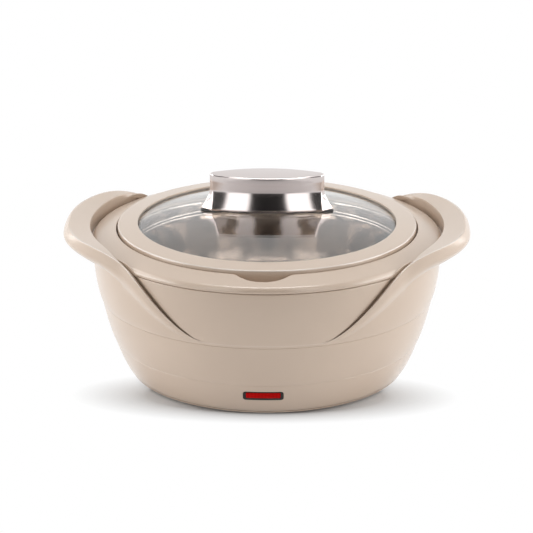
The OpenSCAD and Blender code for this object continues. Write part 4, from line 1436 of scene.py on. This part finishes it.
@dataclass
class Knob:
    """Hollow polished knob, boat-shaped in plan, with a flared foot that follows the glass.

    Each span gives a size at the top and at the foot.
    """

    lid: Lid
    corner: Span = (41.6, 42.6)
    tip: Span = (44.0, 50.5)
    depth: Span = (14.4, 17.0)
    end_w: Span = (4.0, 7.4)
    top_z: float = 156.0
    band: float = 11.0
    tip_round: float = 1.6
    corner_round: float = 0.5
    side_start: float = 0.6
    end_power: float = 1.5
    lip: float = 1.3
    lip_from: float = 0.89
    lip_share: float = 0.35
    sheet: float = 1.3
    lift: float = 1.1
    edge: float = 0.9
    side_steps: int = 48
    flare_steps: int = 18

    def outline(self, corner: float, tip: float, depth: float, end_w: float) -> Profile:
        """Gives the plan of one level, always with the same number of points.

        Args:
            corner: half length up to the corners of the sides.
            tip: half length up to the pointed ends.
            depth: half depth in the middle.
            end_w: half width at the corners.

        Returns:
            Points of the closed outline, anticlockwise from the right-hand end.
        """
        sides = [(corner * t, mix(depth, end_w, t * t)) for t in spread(1.0, -1.0, self.side_steps)]
        turn = rounded((tip, 0.0), sides[0], sides[1], self.corner_round)
        half = rounded((corner, -end_w), (tip, 0.0), (corner, end_w), self.tip_round, 8)
        half += turn + sides[1:-1] + [(-x, y) for x, y in turn[::-1]]
        return half + [(-x, -y) for x, y in half]

    def band_from(self) -> float:
        """Gives the level at which the upright band starts."""
        return 1 - self.band / (self.top_z - self.lid.dome_z(0.0, self.lift))

    def plan(self, v: float, inset: float) -> Profile:
        """Gives the plan at a level.

        Args:
            v: level from 0 at the foot to 1 at the top.
            inset: distance inside the outer face.

        Returns:
            Points of the closed outline.
        """
        u = max(0.0, 1 - v / self.band_from())
        side = u * mix(self.side_start, 1.0, u)
        end = min(1.0, u / self.lip_from) ** self.end_power
        under = max(0.0, u - self.lip_from) / (1 - self.lip_from)
        curl = self.lip * (1 - math.sqrt(1 - under * under))
        back = inset + self.lip_share * curl
        return self.outline(
            mix(*self.corner, side) - back,
            mix(*self.tip, end) - inset - curl,
            mix(*self.depth, side) - back,
            mix(*self.end_w, end) - back / 2,
        )

    def loop(self, v: float, inset: float, drop: float) -> list[Vector]:
        """Gives one loop of the knob.

        Args:
            v: level from 0 at the foot to 1 at the top.
            inset: distance inside the outer face.
            drop: distance of the highest level below the top.

        Returns:
            The loop's points in millimetres.
        """
        loop = []
        for (x, y), (fx, fy) in zip(self.plan(v, inset), self.plan(0.0, inset)):
            low = self.lid.dome_z(math.hypot(fx, fy), self.lift)
            loop.append(Vector((x, y, mix(low, self.top_z - drop, v))))
        return loop

    def build(self) -> None:
        """Builds and dresses the knob."""
        band_from = self.band_from()
        height = self.band / (1 - band_from)
        lip_top = band_from * (1 - self.lip_from)
        levels = [lip_top * (1 - sin_d(t)) for t in spread(90.0, 0.0, 6)]
        levels += spread(lip_top, band_from, self.flare_steps)[1:] + [(1 + band_from) / 2]
        loops = [self.loop(v, self.sheet, self.sheet) for v in [1.0] + levels[::-3]]
        loops += [self.loop(v, 0.0, 0.0) for v in levels]
        for t in spread(0.0, 90.0, 5):
            inset = self.edge * (1 - cos_d(t))
            loops.append(self.loop(1 - self.edge * (1 - sin_d(t)) / height, inset, 0.0))
        bm = looped(lambda i, j: loops[j][i], len(loops[0]), len(loops))
        dress(new_object("knob_body", bm), KNOB_METAL, Body.LID, "knob_shell", sharp=16.0)


# The indicator and the inlet in the shell's wall


@dataclass
class Indicator:
    """Red window in a dark frame, low on the front, set flush in the wall.

    The sizes of the frame and the window are width, height and corner radius.
    """

    shell: Shell
    z: float = 19.0
    frame: Trio = (30.0, 8.0, 2.0)
    frame_stand: float = 0.3
    frame_edges: tuple[Point, ...] = ((0.0, 0.2), (0.06, 0.06), (0.2, 0.0))
    bore_break: float = 0.15
    window: Trio = (25.5, 5.0, 0.8)
    window_rise: float = 0.7
    window_stand: float = 0.55
    window_edges: tuple[Point, ...] = ((0.0, 0.35), (0.1, 0.1), (0.35, 0.0))
    crown_insets: tuple[float, ...] = (1.2, 2.0, 2.4)
    crown: float = 0.05
    depth: float = 3.2
    seam: float = 0.15
    least_round: float = 0.05
    cut_offs: Span = (-7.0, 4.0)
    lean_span: float = 3.0

    def at(self, x: float, y: float, off: float) -> Vector:
        """Gives a point at a place across and up the wall, at a distance off it.

        Args:
            x: place across.
            y: place up the wall, from the middle of the frame.
            off: distance out from the wall.

        Returns:
            The point in millimetres.
        """
        low, high = self.z - self.lean_span, self.z + self.lean_span
        lean = math.atan2(self.shell.wall_r(high) - self.shell.wall_r(low), high - low)
        return self.shell.at_wall(x, self.z + y * math.cos(lean), off, -1.0)

    def sleeve(self, rings: list[Ring]) -> Form:
        """Joins outlines on the wall into one closed form.

        Args:
            rings: an outline, its shift up the wall and its distance off the wall, for each loop.

        Returns:
            The closed form.
        """

        def point(i: int, j: int) -> Vector:
            """Gives step i of loop j."""
            outline, rise, off = rings[j]
            return self.at(outline[i][0], outline[i][1] + rise, off)

        return looped(point, len(rings[0][0]), len(rings))

    def ring(self, size: Trio, inset: float, off: float) -> Ring:
        """Gives one loop of the frame or the window.

        Args:
            size: the frame's or the window's size.
            inset: distance inside its outline.
            off: distance off the wall.

        Returns:
            The outline, its shift up the wall and its distance off the wall.
        """
        width, height, corner = size
        plan = rounded_box(width - 2 * inset, height - 2 * inset, max(self.least_round, corner - inset))
        return plan, self.window_rise if size == self.window else 0.0, off

    def opening(self) -> Form:
        """Gives the form to cut from the shell."""
        return self.sleeve([self.ring(self.frame, -self.seam, off) for off in self.cut_offs])

    def build(self) -> None:
        """Builds and dresses the frame and its window."""
        stand, seam, deep = self.frame_stand, self.seam, -self.depth
        rings = [self.ring(self.window, -seam, deep), self.ring(self.frame, 0.0, deep)]
        rings += [self.ring(self.frame, inset, stand - drop) for inset, drop in self.frame_edges]
        rings += [self.ring(self.window, -seam - self.bore_break, stand)]
        rings += [self.ring(self.window, -seam, stand - self.bore_break), rings[0]]
        dress(new_object("lamp_frame", self.sleeve(rings)), DARK_MOULDING, Body.BASE, "indicator_bezel")
        stand = self.window_stand
        rings = [self.ring(self.window, 0.0, deep)]
        rings += [self.ring(self.window, inset, stand - drop) for inset, drop in self.window_edges]
        rings += [self.ring(self.window, inset, stand + self.crown * inset) for inset in self.crown_insets]
        dress(new_object("lamp_window", self.sleeve(rings)), LAMP_WINDOW, Body.BASE, "indicator_lens")


@dataclass
class Inlet:
    """Opening for the socket of the appliance plug, low at the back."""

    z: float = 16.4
    width: float = 24.0
    height: float = 15.0
    corner: float = 3.0
    seam: float = 0.15
    ends: Span = (96.0, 125.0)

    def opening(self) -> Form:
        """Gives the form to cut from the shell."""
        plan = rounded_box(self.width + 2 * self.seam, self.height + 2 * self.seam, self.corner + self.seam)
        return looped(lambda i, j: Vector((plan[i][0], self.ends[j], self.z + plan[i][1])), len(plan), 2)


# The studio


@dataclass(frozen=True)
class Lamp:
    """A soft lamp: its place, width, height and the height that it is aimed at in metres, and its watts."""

    name: str
    place: Trio
    width: float
    height: float
    power: float
    aim_z: float = 0.08

    def hang(self, name: str, side: float) -> None:
        """Hangs the lamp.

        Args:
            name: its name in the scene.
            side: 1 for its own place, -1 for the same place on the other side.
        """
        lamp = bpy.data.lights.new(name, "AREA")
        lamp.shape = "RECTANGLE"
        lamp.size, lamp.size_y = self.width, self.height
        lamp.energy = self.power
        stand = bpy.data.objects.new(name, lamp)
        bpy.context.scene.collection.objects.link(stand)
        x, y, z = self.place
        stand.location = (side * x, y, z)
        aim = Vector((0.0, 0.0, self.aim_z)) - stand.location
        stand.rotation_euler = aim.to_track_quat("-Z", "Y").to_euler()


TOP_LAMP = Lamp("lamp_top", (0.0, 0.25, 1.75), 0.9, 0.5, 11.5)
SIDE_LAMPS = (
    Lamp("lamp", (1.47, -0.31, 0.37), 1.0, 0.72, 10.9),
    Lamp("strip", (0.74, -1.25, 1.15), 0.56, 2.3, 3.8, aim_z=1.15),
    Lamp("rim", (1.1, 0.3, 1.05), 1.2, 0.4, 4.2),
    Lamp("wing", (1.3, 0.7, 0.45), 0.8, 0.8, 4.0),
)


@dataclass
class Studio:
    """White table in a white room, with dark screens on the camera's side and soft lamps all round.

    The camera's sizes are millimetres and the others are metres.
    """

    yaw: float = 1.43
    elevation: float = 18.87
    distance: float = 2200.0
    target_z: float = 81.3
    focal_px: float = 2863.2
    centre_px: float = 267.06
    sensor: float = 36.0
    room_light: float = 0.175
    floor_half: float = 6.0
    felt: Colour = (0.92, 0.92, 0.92)
    # Darker felt that only the camera sees, near the pot: painted shade that deepens the shadow on the
    # table.
    painted_shade_felt: Colour = (0.66, 0.67, 0.68)
    # The oval, set towards the front of the pot, inside which the painted shade shows: its radii, shift,
    # squeeze and the softness of its edge.
    near_r: float = 0.090
    far_r: float = 0.146
    shade_y: float = -0.065
    shade_flat: float = 2.6
    shade_power: float = 0.7
    screen_r: float = 1.3
    screen_top: float = 2.3
    screens: tuple[Span, ...] = ((-18.0, 18.0), (-58.0, -43.0), (43.0, 58.0))
    screen_colour: Colour = (0.02, 0.02, 0.02)
    mat_half: float = 0.45
    mat_place: Trio = (0.0, -0.83, 0.001)
    mat_colour: Colour = (0.74, 0.72, 0.72)

    def camera(self) -> None:
        """Puts the camera where the photograph was taken from."""
        lens = bpy.data.cameras.new("camera")
        lens.sensor_width = self.sensor
        lens.lens = self.focal_px / PHOTO_PX * self.sensor
        lens.shift_x = (PHOTO_PX / 2 - self.centre_px) / PHOTO_PX
        eye = bpy.data.objects.new("camera", lens)
        bpy.context.scene.collection.objects.link(eye)
        level = cos_d(self.elevation)
        back = Vector((sin_d(self.yaw) * level, -cos_d(self.yaw) * level, sin_d(self.elevation)))
        eye.location = Vector((0.0, 0.0, self.target_z * MM)) + back * self.distance * MM
        eye.rotation_euler = back.to_track_quat("Z", "Y").to_euler()
        bpy.context.scene.camera = eye

    def seen(self, recipe: Recipe) -> Wire:
        """Tells apart the rays that show the background: straight, in gloss or through glass.

        Args:
            recipe: the nodes of the material or world.

        Returns:
            1 for such a ray, 0 for any other.
        """
        rays = recipe.node("ShaderNodeLightPath").outputs
        kinds = ("Is Camera Ray", "Is Glossy Ray", "Is Transmission Ray")
        straight, gloss, through = (Wire(recipe, rays[kind]) for kind in kinds)
        return recipe.clamp(straight + gloss + through, 0.0, 1.0)

    def room(self) -> None:
        """Lights the room evenly and shows it white."""
        world = bpy.data.worlds.new("room")
        bpy.context.scene.world = world
        recipe = Recipe(world)
        light, white = (
            recipe.node("ShaderNodeBackground", sockets={"Color": WHITE, "Strength": strength}).outputs[0]
            for strength in (self.room_light, 1.0)
        )
        both = recipe.blend(self.seen(recipe), light, white)
        recipe.node("ShaderNodeOutputWorld", sockets={"Surface": both})

    def stand(self, name: str, bm: Form, paint: bpy.types.Material, shown: bool) -> None:
        """Puts a piece of the studio in the scene.

        Args:
            name: its name.
            bm: its form.
            paint: its material.
            shown: whether the camera sees it.
        """
        piece = new_object(name, bm)
        piece.data.materials.append(paint)
        piece.visible_camera = shown
        piece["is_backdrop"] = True

    def matt_paint(self, name: str, colour: Colour) -> bpy.types.Material:
        """Makes a plain matt paint.

        Args:
            name: its name.
            colour: its colour.

        Returns:
            The material.
        """
        paint = bpy.data.materials.new(name)
        recipe = Recipe(paint)
        recipe.surface(recipe.matt(colour))
        return paint

    def table(self) -> None:
        """Lays the white table, which keeps the shadow close to the pot and deepens it there with painted
        shade.
        """
        bm = bmesh.new()
        bmesh.ops.create_grid(bm, x_segments=8, y_segments=8, size=self.floor_half)
        paint = bpy.data.materials.new("table_white")
        recipe = Recipe(paint)
        shown = self.seen(recipe)
        # Camera rays see the darker felt: painted shade.
        felt = recipe.blend(shown, recipe.matt(self.felt), recipe.matt(self.painted_shade_felt))
        x, y, _ = recipe.axes()
        deep = (y - self.shade_y) * self.shade_flat
        away = recipe.clamp((x * x + deep * deep) ** 0.5, self.near_r, self.far_r)
        white = recipe.node("ShaderNodeEmission", sockets={"Color": WHITE, "Strength": 1.0}).outputs[0]
        recipe.surface(recipe.blend(shown * away**self.shade_power, felt, white))
        self.stand("table", bm, paint, True)

    def dark_screens(self) -> None:
        """Stands dark screens on the camera's side, which the camera doesn't see."""
        paint = self.matt_paint("screen_dark", self.screen_colour)
        for k, (start, end) in enumerate(self.screens):
            bm = bmesh.new()
            bmesh.ops.create_grid(bm, x_segments=12, y_segments=4, size=0.5)
            for vert in bm.verts:
                angle = mix(start, end, vert.co.x + 0.5)
                height = (vert.co.y + 0.5) * self.screen_top
                vert.co = Vector((self.screen_r * sin_d(angle), -self.screen_r * cos_d(angle), height))
            self.stand(f"screen_{k}", bm, paint, False)

    def grey_mat(self) -> None:
        """Lays a grey mat on the table in front, which only the knob and the glass show."""
        bm = bmesh.new()
        bmesh.ops.create_grid(bm, x_segments=4, y_segments=4, size=self.mat_half)
        bmesh.ops.translate(bm, verts=bm.verts[:], vec=self.mat_place)
        self.stand("mat", bm, self.matt_paint("mat_grey", self.mat_colour), False)

    def lamps(self) -> None:
        """Hangs the lamps."""
        TOP_LAMP.hang(TOP_LAMP.name, 1.0)
        for lamp in SIDE_LAMPS:
            lamp.hang(f"{lamp.name}_left", -1.0)
            lamp.hang(f"{lamp.name}_right", 1.0)

    def build(self) -> None:
        """Sets up camera, room, table, screens, mat and lamps."""
        self.camera()
        self.room()
        self.table()
        self.dark_screens()
        self.grey_mat()
        self.lamps()
        bpy.context.scene.view_settings.view_transform = "Standard"


def dress_nodes() -> None:
    """Gives each CAD node that stays its finish."""
    for finish, nodes in KEPT_NODES.items():
        for node in nodes:
            part = frame["nodes"][node]
            if not part.material_slots:
                part.data.materials.append(finish.material())
            for place in part.material_slots:
                place.material = finish.material()
            LOG.info("%s: kept, %s", node, finish.name)


def write_sizes() -> None:
    """Works out the CAD model's box and the visual model's box as plain lists."""
    boxes = {"cad": CAD_BOX, "visual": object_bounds()}
    plain = {name: [list(corner) for corner in box] for name, box in boxes.items()}


def main() -> None:
    """Builds the studio and every piece in order."""
    logging.basicConfig(level=logging.INFO, format="%(name)s %(message)s")
    Studio().build()
    shell = Shell()
    indicator = Indicator(shell)
    shell.build(join([indicator.opening(), Inlet().opening()]))
    Collar(shell).build()
    Bowl().build()
    lid = Lid()
    lid.build()
    Knob(lid).build()
    indicator.build()
    dress_nodes()
    write_sizes()


if __name__ == "__main__":
    main()
